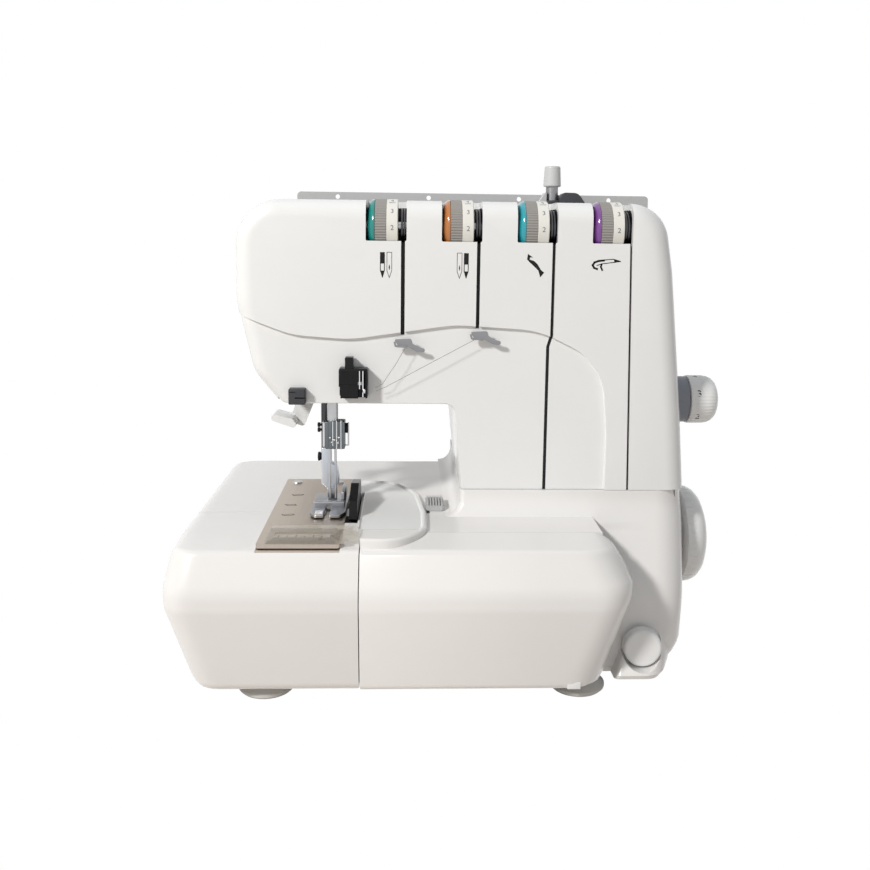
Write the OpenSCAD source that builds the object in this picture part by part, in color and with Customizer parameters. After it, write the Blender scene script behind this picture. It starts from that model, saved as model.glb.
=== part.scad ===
// Overlock sewing machine (serger): arm and base covers over a cast frame, four tension
// dials, needle and presser bars, loopers, knives, feed dogs, a drop-down looper cover
// and a rear spool stand with a telescopic thread guide. Lengths in millimetres, +Z up,
// +X to the operator's right, the operator stands at -Y. Origin: centre of the footprint.

/* [Base] */
// Centre line to the left side of the base
left_reach = 173.5; // [168:0.5:180]
// Centre line to the right side of the base
right_reach = 145; // [140:1:150]
// Centre line to the front of the base
front_reach = 138; // [134:1:146]
// Centre line to the rear edge of the bed
bed_rear_reach = 76; // [72:1:84]
// Height of the rubber feet
foot_h = 9; // [7:0.5:12]
// Diameter of a rubber foot
foot_d = 34; // [26:1:38]
// Height of the bed above the table
bed_h = 97; // [95:0.5:100]
// Height of the joint between base and arm
seam_h = 113; // [110:0.5:116]
// Wall of the base covers
base_wall = 2.6; // [2:0.1:3.2]
// Floor of the base tray
tray_t = 3; // [2.5:0.5:5]

/* [Arm] */
// Height of the arm's top
arm_top_h = 293; // [290:1:300]
// Height of the arm's underside
arm_bottom_h = 166.4; // [164:0.2:169]
// Centre line to the arm's front face
arm_front_reach = 68; // [66:0.5:72]
// Centre line to the arm's rear face
arm_rear_reach = 45; // [42:1:50]
// Centre line to the left end of the arm
arm_left_reach = 140.6; // [137:0.5:144]
// Wall of the arm covers
arm_wall = 4; // [3.6:0.1:4.4]
// Depth of the wave-shaped step across the arm
wave_step = 1.6; // [1.2:0.1:1.8]
// Depth of a thread slot
slot_depth = 6; // [5:0.5:8]

/* [Tension dials] */
// Radius of a dial
dial_r = 17; // [15.5:0.5:17.5]
// Width of a dial
dial_w = 19; // [16:0.5:19.5]
// Distance from one dial to the next
dial_pitch = 46.2; // [44:0.1:47]
// Radius of the post that a dial turns on
post_r = 3; // [2.5:0.1:4]
// Height of the window that shows a dial
window_h = 24.7; // [23.5:0.1:26]
// Ridges round a dial's grip
dial_ridges = 44; // [36:1:60]

/* [Looper cover] */
// Joint between the side cover and the looper cover, left of the centre line
cover_joint_reach = 61.5; // [58:0.5:63]
// Right end of the looper cover
looper_cover_right = 101; // [97:1:103]
// Radius of its hinge rod
hinge_rod_r = 2.5; // [2:0.1:3]
// Height of its hinge rod
hinge_rod_h = 15.5; // [15:0.5:16.5]

/* [Sewing area] */
// Width of the stitch plate
plate_w = 47.5; // [46:0.5:48]
// Thickness of the stitch plate
plate_t = 2; // [1.6:0.1:2.4]
// Radius of the needle bar
needle_bar_r = 3.5; // [3:0.1:3.8]
// Distance between the two needles
needle_gap = 3.4; // [2.4:0.1:4]
// Radius of the presser bar
presser_bar_r = 3; // [2.6:0.1:3.2]
// Width of the presser foot's sole
sole_w = 22; // [20:0.5:24]
// Radius of the looper shafts
looper_shaft_r = 4; // [3.5:0.1:4.5]

/* [Drive] */
// Radius of the main shaft
shaft_r = 6; // [5:0.1:7]
// Height of the main shaft
shaft_h = 69; // [67:0.5:71]
// Radius of the handwheel
wheel_r = 33; // [30:0.5:34]
// Width of the handwheel
wheel_w = 19; // [16:0.5:20]
// Radius of the pulley on the main shaft
big_pulley_r = 24; // [21:0.5:25]
// Radius of the motor's pulley
small_pulley_r = 9; // [8:0.5:11]
// Radius of the motor
motor_r = 26; // [22:0.5:27]

/* [Spool stand] */
// Centre line to the rear edge of the stand
stand_reach = 138; // [132:1:144]
// Height of the stand's underside
stand_h = 150; // [147:1:153]
// Thickness of the stand
stand_t = 4; // [3:0.5:5]
// Distance between spool pins
pin_pitch = 62; // [58:1:64]
// Height of a spool pin above the stand
pin_h = 92; // [70:1:110]
// Radius of the mast's top rod
rod_r = 4.5; // [4:0.1:5]
// Height of the lowered mast
mast_top_h = 324; // [318:1:330]
// Length of the thread guide bar
bar_len = 264; // [250:1:270]

/* [Fits] */
// Radial clearance of a turning or sliding fit
run_gap = 0.05; // [0.02:0.01:0.09]
// Clearance round a part that moves in an opening
gap = 0.5; // [0.3:0.1:0.8]

/* [Hidden] */
$fn = 64;
e = 0.01;

// main planes
x_left = -left_reach;
x_right = right_reach;
y_front = -front_reach;
y_bed_rear = bed_rear_reach;
y_arm = -arm_front_reach;
y_arm_rear = arm_rear_reach;
x_joint = -cover_joint_reach;
y_deck = y_arm - 36;            // front edge of the flat deck behind the looper cover
y_side_joint = y_arm + 4;       // joint between side cover and bed cover
x_bed_end = -10;                // joint between bed cover and column base cover
tray_top = foot_h + tray_t;
crease_z = bed_h - 3;
belly_z = foot_h + 58;          // height at which the base is widest

// frame wall that carries the mechanism
frame_y = -10;
frame_t = 8;
frame_back = frame_y + frame_t;

// tension dials
dial_1_x = -50.6;
dial_y = y_arm + dial_r - 1;
dial_z = arm_top_h + 1 - dial_r;
slot_off = dial_w / 2 + 3.2;
slot_w = [2.4, 2.2, 2, 1.4];
function dial_x(i) = dial_1_x + i * dial_pitch;
window_bottom = arm_top_h - window_h;

// needle, presser bar and knife positions
needle_x = -82;
needle_y = -56;
presser_x = -88;
presser_y = -38;
plate_left = -120;
plate_right = plate_left + plate_w;
plate_front = y_front + 12;
plate_rear = 13.5;
plate_top = bed_h + 0.4;
foot_pin_y = -46;
foot_pin_z = plate_top + 8.5;
foot_pin_r = 1.5;
slab_gap = 2;

// loopers, each on its own shaft along Y
lower_looper_at = [-60, 40];
lower_looper_y = -78;
upper_looper_at = [-28, 50];
upper_looper_y = -88;
looper_t = 5;

// drive
shaft_y = -20;
pulley_x = 110;
pulley_w = 9;
motor_y = 40;
motor_z = 45;
wheel_x = 150.5;

// right side controls
length_dial_at = [-25, 164.5];
length_dial_r = 16.2;
length_base_end = 157;
length_dial_end = left_reach;
knob_x = 109;
knob_z = 26;
knob_r = 12;

// lifter lever
// mechanism of the head, placed from the arm
bracket_low = arm_bottom_h + 19.6;
bracket_high = arm_top_h - 47;
bracket_t = 10;
// blocks on the two bars, between the bracket's arms
bracket_room = bracket_high - bracket_low - bracket_t;
drive_block_h = bracket_low + bracket_t + 0.32 * bracket_room;
lift_block_h = bracket_low + bracket_t + 0.6 * bracket_room;
take_up_x = -64;
take_up_y = -46;
take_up_z = arm_bottom_h + 14.6;
take_up_pin_r = 2.5;
cutter_x = -arm_left_reach + 32.8;
cutter_z = arm_bottom_h + 1.1;
clamp_foot = arm_bottom_h - 29.4;
clamp_top = clamp_foot + 18;
needle_r = 0.8;
holder_foot = plate_top + 16.6;
holder_top = holder_foot + 20;
peg_r = 1.5;

lifter_at = [-arm_left_reach + 44.6, arm_bottom_h + 13.6];
lifter_y = -24;
lifter_t = 6;

// spool stand and mast
mast_x = 71.5;
mast_y = 58;
stand_front = y_arm_rear;
stand_top = stand_h + stand_t;
bar_y = mast_y + 8;
bar_left = -118;
bar_z = mast_top_h - 34;
bar_h = 13.5;

// ---------- outline helpers ----------
function unit(v) = v / norm(v);
// arc of radius r that rounds the corner b between a and c
function corner(a, b, c, r, n) = r <= 0 ? [b] :
    let (u = unit(a - b), v = unit(c - b), half = acos(u * v) / 2,
         m = b + unit(u + v) * r / sin(half), p = b + u * r / tan(half), q = b + v * r / tan(half),
         a0 = atan2(p.y - m.y, p.x - m.x), a1 = atan2(q.y - m.y, q.x - m.x),
         turn = (a1 - a0 + 540) % 360 - 180)
    [for (i = [0 : n]) m + r * [cos(a0 + turn * i / n), sin(a0 + turn * i / n)]];
// polygon from [x, y, radius] corners
function rounded(pts, n = 6) = let (k = len(pts)) [for (i = [0 : k - 1])
    each corner([pts[(i + k - 1) % k].x, pts[(i + k - 1) % k].y], [pts[i].x, pts[i].y],
        [pts[(i + 1) % k].x, pts[(i + 1) % k].y], pts[i].z, n)];

module outline(pts, inset = 0, n = 6) {
    if (inset == 0) polygon(rounded(pts, n));
    else offset(delta = -inset) polygon(rounded(pts, n));
}
// 2D (x, z) shape swept from y0 to y1
module along_y(y0, y1) translate([0, y1, 0]) rotate([90, 0, 0]) linear_extrude(y1 - y0) children();
// 2D (y, z) shape swept from x0 to x1
module along_x(x0, x1) translate([x0, 0, 0]) rotate([90, 0, 90]) linear_extrude(x1 - x0) children();
module along_z(z0, z1) translate([0, 0, z0]) linear_extrude(z1 - z0) children();
module block(lo, hi) translate(lo) cube(hi - lo);
module rod_x(x0, x1, y, z, r) translate([x0, y, z]) rotate([0, 90, 0]) cylinder(h = x1 - x0, r = r);
module rod_y(y0, y1, x, z, r) translate([x, y1, z]) rotate([90, 0, 0]) cylinder(h = y1 - y0, r = r);
module rod_z(z0, z1, x, y, r) translate([x, y, z0]) cylinder(h = z1 - z0, r = r);
module round_box(lo, hi, r) along_z(lo.z, hi.z)
    outline([[lo.x, lo.y, r], [hi.x, lo.y, r], [hi.x, hi.y, r], [lo.x, hi.y, r]]);

// ---------- body forms ----------
bed_front = [[x_left + 15, foot_h, 10], [x_left, belly_z - 6, 36], [x_left, belly_z + 6, 36],
    [x_left + 5, bed_h, 8], [x_right + 40, bed_h, 0], [x_right + 40, foot_h, 0]];
bed_side = [[y_front + 10, foot_h, 8], [y_front, belly_z - 5, 22], [y_front, belly_z + 5, 22],
    [y_front + 9.5, crease_z, 5], [y_deck, bed_h, 0], [y_bed_rear, bed_h, 9], [y_bed_rear, foot_h, 3]];
bed_plan = [[x_left + 20, y_front, 12], [x_left, y_front + 24, 16], [x_left, y_bed_rear, 22],
    [x_right + 30, y_bed_rear, 0], [x_right + 30, y_front, 0]];
// left half of the base, under the needles
module bed_form(inset) intersection() {
    along_y(y_front - 20, y_bed_rear + 20) outline(bed_front, inset);
    along_x(x_left - 20, x_right + 20) outline(bed_side, inset);
    along_z(0, bed_h + 20) outline(bed_plan, inset);
}

column_front = [[x_bed_end - 20, foot_h, 0], [x_right, foot_h, 16], [x_right, seam_h + 12, 0],
    [-1, seam_h + 12, 0], [-1, seam_h - 2, 0], [-3, bed_h + 3, 6], [x_bed_end, bed_h, 0],
    [x_bed_end - 20, bed_h, 0]];
column_side = [[y_deck, foot_h, 3], [y_deck + 6, foot_h + 40, 60], [y_arm, seam_h - 6, 30],
    [y_arm, seam_h + 12, 0], [y_bed_rear, seam_h + 12, 0], [y_bed_rear, foot_h, 3]];
column_plan = [[x_bed_end - 20, y_front + 20, 0], [x_right, y_front + 20, 22],
    [x_right, y_bed_rear, 16], [x_bed_end - 20, y_bed_rear, 0]];
// right part of the base, under the column
module column_form(inset) intersection() {
    along_y(y_front, y_bed_rear + 20) outline(column_front, inset);
    along_x(x_bed_end - 30, x_right + 20) outline(column_side, inset);
    along_z(0, seam_h + 20) outline(column_plan, inset);
}

arm_profile = [[x_right, seam_h - 12, 0], [x_right - 5, arm_bottom_h - 4, 120],
    [x_right - 14, arm_top_h - 42, 60], [x_right - 21, arm_top_h, 26], [-arm_left_reach, arm_top_h, 28],
    [-arm_left_reach, arm_bottom_h + 62, 50], [-arm_left_reach + 9.5, arm_bottom_h + 20, 30],
    [-arm_left_reach + 26, arm_bottom_h, 12], [-6.5, arm_bottom_h, 5], [-1, seam_h, 0],
    [-1, seam_h - 12, 0]];
// arm and column: xz insets the front outline, yf and yr the front and rear faces
module arm_form(xz, yf, yr) intersection() {
    along_y(y_arm - 10, y_arm_rear + 10) outline(arm_profile, xz, 8);
    along_x(-arm_left_reach - 10, x_right + 10) polygon(rounded([
        [y_arm + yf, seam_h - 12, 0], [y_arm + yf, arm_top_h - xz, 9 - xz],
        [y_arm_rear - yr, arm_top_h - xz, 14 - xz], [y_arm_rear - yr, seam_h - 12, 0]]));
    along_z(seam_h, arm_top_h + 10) polygon(rounded([
        [-arm_left_reach + xz, y_arm + yf, 20 - xz], [x_right - xz, y_arm + yf, 16 - xz],
        [x_right - xz, y_arm_rear - yr, 16 - xz], [-arm_left_reach + xz, y_arm_rear - yr, 20 - xz]]));
}

// the wave: a smooth step that runs down into a vertical crease beside the fourth slot
wave_x = 91;
wave_h = arm_bottom_h + 41.6;
wave_pts = [[-180, wave_h + 39, 0], [-138, wave_h + 14.5, 30], [-106, wave_h + 2.5, 60], [-70, wave_h, 80],
    [-6, wave_h + 9.5, 80], [46, wave_h + 6.5, 60], [74, wave_h - 7, 40], [88, wave_h - 24, 40],
    [wave_x, wave_h - 58, 60], [wave_x, seam_h - 23, 0], [-180, seam_h - 23, 0]];
module below_wave(y0, y1) along_y(y0, y1) outline(wave_pts, 0, 8);

module arm_outer() {
    difference() {
        arm_form(0, 0, 0);
        below_wave(y_arm - 20, y_arm_rear + 20);
    }
    intersection() {
        arm_form(wave_step, wave_step, 0);
        below_wave(y_arm - 20, y_arm_rear + 20);
    }
}
module arm_inner() arm_form(arm_wall, arm_wall, arm_wall);

// thread slots: the first two end above the wave, the third steps aside, the fourth leans
slot_foot = [wave_h + 3, wave_h + 7.5];
jog_h = wave_h + 3;
slot_jog = 2;
function slot_x(i) = dial_x(i) + slot_off;
module slot_path(i, w) {
    if (i < 2) translate([slot_x(i) - w / 2, slot_foot[i]]) square([w, 90]);
    else if (i == 2) translate([slot_x(2), 0]) polygon([[-w / 2, 300], [w / 2, 300], [w / 2, jog_h],
        [w / 2 - slot_jog, jog_h - 7], [w / 2 - slot_jog, seam_h - 1], [-w / 2 - slot_jog, seam_h - 1],
        [-w / 2 - slot_jog, jog_h - 7], [-w / 2, jog_h]]);
    else polygon([[slot_x(3) - w / 2, 300], [slot_x(3) + w / 2, 300], [slot_x(3) + 5 + w / 2, seam_h - 1],
        [slot_x(3) + 5 - w / 2, seam_h - 1]]);
}

// ---------- covers ----------
module tray_plan() {
    outline([[x_left + 26, y_deck, 12], [x_right - 20, y_deck, 12],
        [x_right - 20, y_bed_rear - 8, 12], [x_left + 26, y_bed_rear - 8, 14]]);
    // pads over the feet
    for (p = feet) translate(p) circle(foot_top_r);
}

module base_tray() color("gainsboro") {
    difference() {
        along_z(foot_h, tray_top) tray_plan();
        for (p = feet) rod_z(foot_h - 1, tray_top + 1, p.x, p.y, 2.5);
    }
    // lugs that hold the hinge rod of the looper cover
    for (x = hinge_lugs) difference() {
        hull() {
            rod_x(x, x + 8, hinge_y, hinge_rod_h, hinge_rod_r + 1.5);
            block([x, y_deck, tray_top - e], [x + 8, y_deck + 10, tray_top + 5]);
        }
        rod_x(x - 1, x + 9, hinge_y, hinge_rod_h, hinge_rod_r + run_gap);
    }
    // motor cradle
    for (x = [44, 88]) difference() {
        block([x, motor_y - 20, tray_top - e], [x + 6, motor_y + 20, motor_z - 4]);
        rod_x(x - 1, x + 7, motor_y, motor_z, motor_r);
    }
}
hinge_y = y_front + 16;
hinge_lugs = [-46, 58];
feet = [[-118, -103], [70, -103], [-118, 50], [104, 50]];
foot_top_r = foot_d / 2 - 6.5;

module rubber_feet() color([0.8, 0.8, 0.79]) for (p = feet) {
    translate([p.x, p.y, 0]) rotate_extrude() polygon([[0, 0], [foot_d / 2 - 1.5, 0], [foot_d / 2, 1.5],
        [foot_d / 2, foot_h / 3], [foot_top_r, foot_h], [0, foot_h]]);
    rod_z(foot_h - e, tray_top, p.x, p.y, 2.5);
}

module plate_cut() {
    block([plate_left, plate_front - 20, bed_h - plate_t], [plate_right, plate_rear, bed_h + 10]);
    block([plate_left, plate_front - 20, crease_z - 0.6], [plate_right, plate_front + 3, bed_h + 10]);
}
module under_plate() block([plate_left + 5, plate_front + 8, bed_h - 12],
    [plate_right, plate_rear - 8, bed_h + 10]);

module bed_shell() difference() {
    bed_form(0);
    bed_form(base_wall);
    along_z(foot_h - 1, tray_top) tray_plan();
    plate_cut();
    under_plate();
}
module side_cover() color("white") difference() {
    intersection() {
        bed_shell();
        block([x_left - 1, y_front - 1, 0], [x_joint, y_side_joint, bed_h + 1]);
    }
    knife_slot();
}
module bed_cover() color("white") {
    difference() {
        intersection() {
            bed_shell();
            block([x_left - 1, y_side_joint, 0], [x_bed_end, y_bed_rear + 1, bed_h + 1]);
        }
        knife_slot();
        for (p = plate_screws) rod_z(bed_h - 5, bed_h, p.x, p.y, 1.6);
    }
}
knife_x = plate_right + 2.4;
knife_t = 5;
module knife_slot() block([plate_right, -86, bed_h - 20], [knife_x + knife_t + gap, -28, bed_h + 10]);

module column_base_cover() color("white") {
    difference() {
        union() {
            difference() {
                intersection() {
                    column_form(0);
                    block([x_bed_end, y_front, 0], [x_right + 1, y_bed_rear + 1, seam_h]);
                }
                column_form(base_wall);
                // opening behind the looper cover
                block([x_bed_end - 1, y_front, tray_top],
                    [looper_cover_right - 14, y_arm - 8, bed_h - base_wall]);
            }
            // toe to the right of the looper cover
            round_box([toe_x, y_front + 21, foot_h], [x_right - 5, y_deck + 6, foot_h + 4.4], 6);
            // seat of the feed ratio knob
            rod_y(knob_y + 0.4, knob_y + 12, knob_x, knob_z, knob_r - 1.5);
            // surround of the power switch
            block([x_right - 9, 31, 57], [x_right - 0.6, 57, 87]);
            // roof behind the arm
            intersection() {
                column_form(0);
                block([-2, y_arm_rear - arm_wall, seam_h - base_wall], [x_right, y_bed_rear, seam_h]);
            }
            // flat deck in front of the column
            block([x_joint, y_deck, bed_h - base_wall], [looper_cover_right - 17, y_side_joint, bed_h]);
        }
        along_z(foot_h - 1, tray_top) tray_plan();
        knife_slot();
        rod_x(x_right - 10, x_right + 5, shaft_y, shaft_h, shaft_r + 2);
        switch_form(0);
        inlet_form(0);
        rod_y(y_front, y_arm, knob_x, knob_z, 3);
        rod_y(33, 55, x_right - 4, 72, 1 + run_gap);
    }
}
toe_x = looper_cover_right - 9;

looper_top_y = y_deck - gap;
function front_curve(dy) = [[y_front + 10, foot_h, 8], [y_front, belly_z - 5, 22], [y_front, belly_z + 5, 22],
    [y_front + 9.5, crease_z, 5], [looper_top_y + dy, bed_h, 0]];
// the lower rear corner is cut away, so that the cover can swing
looper_side = concat(front_curve(0), [[looper_top_y, foot_h + 36, 0], [hinge_y + 4, foot_h, 0]]);
looper_front = [[x_joint + gap, foot_h, 0], [looper_cover_right - 18, foot_h, 8],
    [looper_cover_right, belly_z + 4, 16], [looper_cover_right - 14, bed_h, 10], [x_joint + gap, bed_h, 0]];
looper_plan = [[x_joint + gap, y_front, 0], [looper_cover_right, y_front, 22],
    [looper_cover_right, looper_top_y, 0], [x_joint + gap, looper_top_y, 0]];
module looper_form(inset) intersection() {
    along_y(y_front - 10, looper_top_y + inset * 4) outline(looper_front, inset);
    along_x(x_joint - 10, looper_cover_right + 10) polygon(rounded(looper_side));
    along_z(0, bed_h + 10) polygon(rounded(looper_plan));
}
module looper_inner() intersection() {
    along_y(y_front, looper_top_y + 5) outline(looper_front, base_wall);
    along_x(x_joint, looper_cover_right) offset(delta = -base_wall)
        polygon(rounded(concat(front_curve(10), [[looper_top_y + 10, foot_h, 0]])));
    along_z(0, bed_h + 10) offset(delta = -base_wall) polygon(rounded([
        [x_joint + gap, y_front, 0], [looper_cover_right, y_front, 22],
        [looper_cover_right, looper_top_y + 10, 0], [x_joint + gap, looper_top_y + 10, 0]]));
}
module looper_cover() color("white") {
    difference() {
        union() {
            difference() {
                looper_form(0);
                looper_inner();
            }
            // knuckles on the hinge rod
            for (x = hinge_lugs) intersection() {
                union() {
                    rod_x(x + 10, x + 20, hinge_y, hinge_rod_h, hinge_rod_r + 2);
                    block([x + 10, y_front + 7, hinge_rod_h - 3], [x + 20, hinge_y, hinge_rod_h + 4]);
                }
                looper_form(0);
            }
            finger_front();
        }
        for (x = hinge_lugs) {
            rod_x(x + 9, x + 21, hinge_y, hinge_rod_h, hinge_rod_r + run_gap);
            block([x - 6, hinge_y - 4, foot_h - 1], [x + 9, looper_top_y + 1, hinge_rod_h + 8]);
        }
        // open underneath, so that it swings clear of the tray
        block([x_joint, y_front + 12.5, foot_h - 1],
            [looper_cover_right, looper_top_y + 1, foot_h + base_wall + 0.4]);
    }
}
// ends just past the right knuckle, clear of the cover's end wall
module cover_hinge_rod() color("silver")
    rod_x(hinge_lugs[0] - 2, hinge_lugs[1] + 20.8, hinge_y, hinge_rod_h, hinge_rod_r);

// D-shaped work table beside the knives; its front lies on the looper cover
finger_h = 3;
finger_pts = [[knife_x + knife_t + 2, y_front + 14, 3], [-38, y_front + 12, 14], [-21, y_deck - 8, 16],
    [-25.5, -62, 30], [-30, -14, 22], [-46, 2, 12], [plate_right + 1.5, 2, 3], [plate_right + 1.5, -28, 0],
    [knife_x + knife_t + 2, -30, 0]];
module finger_plan(inset) outline(finger_pts, inset, 8);
module finger_front() intersection() {
    along_z(crease_z - 4, bed_h + finger_h) finger_plan(0);
    block([x_joint + gap, y_front, 0], [0, looper_top_y, bed_h + 20]);
    along_x(x_joint, 0) polygon([[y_front, bed_h - 10], [y_front + 14, bed_h + finger_h - 1],
        [y_front + 17, bed_h + finger_h], [y_front + 60, bed_h + finger_h], [y_front + 60, bed_h - 10]]);
}
module finger_table() color("white") intersection() {
    along_z(bed_h, bed_h + finger_h) finger_plan(0);
    block([-100, y_deck, bed_h], [0, 50, bed_h + 20]);
}

module arm_front_cover() color("white") difference() {
    union() {
        difference() {
            intersection() {
                arm_outer();
                block([-200, -200, seam_h], [200, frame_y, arm_top_h + 1]);
            }
            arm_inner();
        }
        // ribs behind the thread slots
        intersection() {
            along_y(y_arm + arm_wall - 1, y_arm + slot_depth + 3)
                for (i = [0 : 3]) slot_path(i, slot_w[i] + 5);
            arm_form(1, 1, 1);
            block([-200, -200, seam_h], [200, 0, arm_top_h - 2]);
        }
    }
    for (i = [0 : 3]) along_y(y_arm - 5, y_arm + slot_depth) slot_path(i, slot_w[i]);
    // dial windows, open at the arm's top edge
    for (i = [0 : 3]) {
        block([dial_x(i) - dial_w / 2 - gap, y_arm - 5, window_bottom],
            [slot_x(i) + 2.1, dial_y + dial_r + 2, arm_top_h + 5]);
        rod_x(dial_x(i) - dial_w / 2 - gap, slot_x(i) + 2.1, dial_y, dial_z, dial_r + gap);
    }
    rod_x(x_right - 20, x_right, length_dial_at.x, length_dial_at.y, 5);
    head_opening();
    // pocket that the take-up lever reaches through
    block([take_up_x - 2.5, y_arm - 5, take_up_z - 9], [take_up_x + 3.5, y_arm + 8, take_up_z + 9]);
    for (p = face_pegs) rod_y(y_arm - 1, y_arm + 8, p.x, p.y, peg_r);
}
module head_opening() block([-arm_left_reach + 25.1, y_arm + 6, arm_bottom_h - 5],
    [take_up_x - 2, frame_y - 3, arm_bottom_h + 12]);
// pegs of the parts that sit on the face: take-up guard, thread cutter and two guides
face_pegs = [[take_up_x - 7, take_up_z], [cutter_x + 4.8, cutter_z + 5],
    [slot_x(0) + 0.4, slot_foot[0] - 5.5], [slot_x(1) + 0.9, slot_foot[1] - 5]];

module arm_rear_cover() color("white") difference() {
    intersection() {
        arm_outer();
        block([-200, frame_y, seam_h], [200, 200, arm_top_h + 1]);
    }
    arm_inner();
    for (p = rear_screws) {
        rod_y(y_arm_rear - 10, y_arm_rear + 1, p.x, p.y, 2);
        rod_y(y_arm_rear - 2, y_arm_rear + 1, p.x, p.y, 4.2);
    }
}

module slot_liners() color([0.06, 0.06, 0.06]) intersection() {
    along_y(y_arm + wave_step + 0.6, y_arm + slot_depth) for (i = [0 : 3]) slot_path(i, slot_w[i]);
    block([-200, -200, seam_h], [200, 0, window_bottom - 1]);
}

// ---------- frame ----------
rear_screws = [[-112, arm_top_h - 31], [-20, arm_top_h - 21], [110, arm_top_h - 31],
    [-108, arm_bottom_h + 23.6], [118, seam_h + 21], [12, seam_h + 21]];
module frame_plan() difference() {
    union() {
        intersection() {
            outline(arm_profile, arm_wall, 8);
            translate([-200, seam_h - 2]) square([400, 300]);
        }
        translate([6, tray_top]) square([96, seam_h - tray_top]);
        translate([x_left + 30, tray_top]) square([102 - x_left - 30, bed_h - base_wall - tray_top]);
    }
    // weight-saving windows
    polygon(rounded([[-108, 214, 8], [-10, 222, 8], [-10, 248, 8], [-108, 248, 8]]));
    polygon(rounded([[20, 128, 8], [118, 128, 8], [112, 240, 8], [20, 240, 8]]));
    polygon(rounded([[-84, 20, 4], [-20, 20, 4], [-20, 64, 4], [-84, 64, 4]]));
    polygon(rounded([[-136, 24, 6], [-100, 24, 6], [-100, 84, 6], [-136, 84, 6]]));
    translate([feed_x - feed_w / 2 - gap, feed_z - gap]) square([feed_w + 2 * gap, 10 + 2 * gap]);
}
feed_x = -85;
feed_w = 18;
feed_z = 72;
bearing_xs = [-46, 30, 88];
module main_frame() color([0.55, 0.56, 0.58]) difference() {
    union() {
        along_y(frame_y, frame_back) frame_plan();
        // bearings of the main shaft
        for (x = bearing_xs) hull() {
            rod_x(x, x + 12, shaft_y, shaft_h, shaft_r + 5);
            block([x, frame_y - 2, shaft_h - 13], [x + 12, frame_y + 2, shaft_h + 13]);
        }
        // bearings of the looper shafts
        for (p = [lower_looper_at, upper_looper_at])
            rod_y(-52, frame_y + 1, p.x, p.y, looper_shaft_r + 4);
        // outer bearing beside the handwheel, on its own foot
        hull() {
            rod_x(130, 138, shaft_y, shaft_h, shaft_r + 5);
            block([130, frame_y - 16, shaft_h - 30], [138, frame_back, shaft_h - 28]);
        }
        block([96, frame_y, 96], [138, frame_back, seam_h]);
        block([130, frame_y - 2, shaft_h - 30], [138, frame_back, seam_h]);
        // pillars for the rear cover
        for (p = rear_screws) rod_y(frame_back - 1, y_arm_rear - arm_wall, p.x, p.y, 5);
        // knife block
        block([plate_right - 12, -58, 50], [plate_right + 0.1, frame_y + 1, 68]);
        // seats of the stitch plate
        block([plate_left + 7, plate_front + 14, 86], [plate_left + 15, frame_y + 1, bed_h - plate_t]);
        block([plate_left + 6, frame_y, 88], [plate_right - 2, frame_back, bed_h - plate_t]);
    }
    for (x = [bearing_xs[0], bearing_xs[1], bearing_xs[2], 130])
        rod_x(x - 1, x + 13, shaft_y, shaft_h, shaft_r + run_gap);
    rod_y(-53, frame_y - 2, lower_looper_at.x, lower_looper_at.y, looper_shaft_r + run_gap);
    rod_y(-53, frame_y - 2, upper_looper_at.x, upper_looper_at.y, looper_shaft_r + run_gap);
    for (p = rear_screws) rod_y(frame_back + 20, y_arm_rear, p.x, p.y, 2);
    rod_x(plate_right - 13, plate_right + 1, upper_knife_y, upper_knife_z, 3 + run_gap);
}

module head_bracket() color([0.6, 0.6, 0.62]) difference() {
    union() {
        for (z = [bracket_low, bracket_high])
            round_box([presser_x - 9, needle_y - 7, z], [needle_x + 10, frame_y, z + bracket_t], 4);
        block([presser_x - 9, frame_y - 6, bracket_low], [needle_x + 10, frame_y, bracket_high + bracket_t]);
        // pivot of the lifter lever
        rod_y(lifter_y + lifter_t, frame_y, lifter_at.x, lifter_at.y, 6);
        rod_y(lifter_y, frame_y, lifter_at.x, lifter_at.y, 3);
        // pivot of the take-up lever
        block([take_up_x - 4, take_up_y - 4, take_up_z + 15], [take_up_x + 8, frame_y, take_up_z + 23]);
        block([needle_x + 5, take_up_y + 8, take_up_z + 15], [take_up_x, frame_y, take_up_z + 23]);
        block([take_up_x + 4, take_up_y - 4, take_up_z - 5],
            [take_up_x + 8, take_up_y + 6, take_up_z + 19]);
        rod_x(take_up_x - 3, take_up_x + 5, take_up_y, take_up_z, take_up_pin_r);
    }
    for (z = [bracket_low, bracket_high]) {
        rod_z(z - 6, z + bracket_t + 4, needle_x, needle_y, needle_bar_r + run_gap);
        rod_z(z - 6, z + bracket_t + 4, presser_x, presser_y, presser_bar_r + run_gap);
    }
}
module lamp_lens() color([0.9, 0.9, 0.85, 0.6]) round_box([-52, -52, arm_bottom_h + wave_step - 1.2],
    [-26, -36, arm_bottom_h + wave_step], 4);

// ---------- sewing area ----------
feed_slots = [-6, -2, 8];
module stitch_plate() color([0.62, 0.58, 0.55]) difference() {
    union() {
        round_box([plate_left, plate_front, bed_h - plate_t], [plate_right, plate_rear, plate_top], 1.5);
        // front lip that folds over the cover's crease
        intersection() {
            block([plate_left, plate_front - 20, crease_z - 0.6], [plate_right, plate_front + 3, bed_h]);
            bed_form(0);
        }
    }
    for (x = feed_slots) block([feed_x + x - 1.6, -74, bed_h - 5], [feed_x + x + 1.6, -30, bed_h + 2]);
    // needle hole
    block([needle_x - 2.8, needle_y - 1.4, bed_h - 5], [needle_x + 2.8, needle_y + 1.4, bed_h + 2]);
    for (p = plate_screws) rod_z(bed_h - 5, bed_h + 2, p.x, p.y, 1.6);
}
plate_screws = [[plate_left + 8, 4], [plate_right - 10, 4]];

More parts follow.
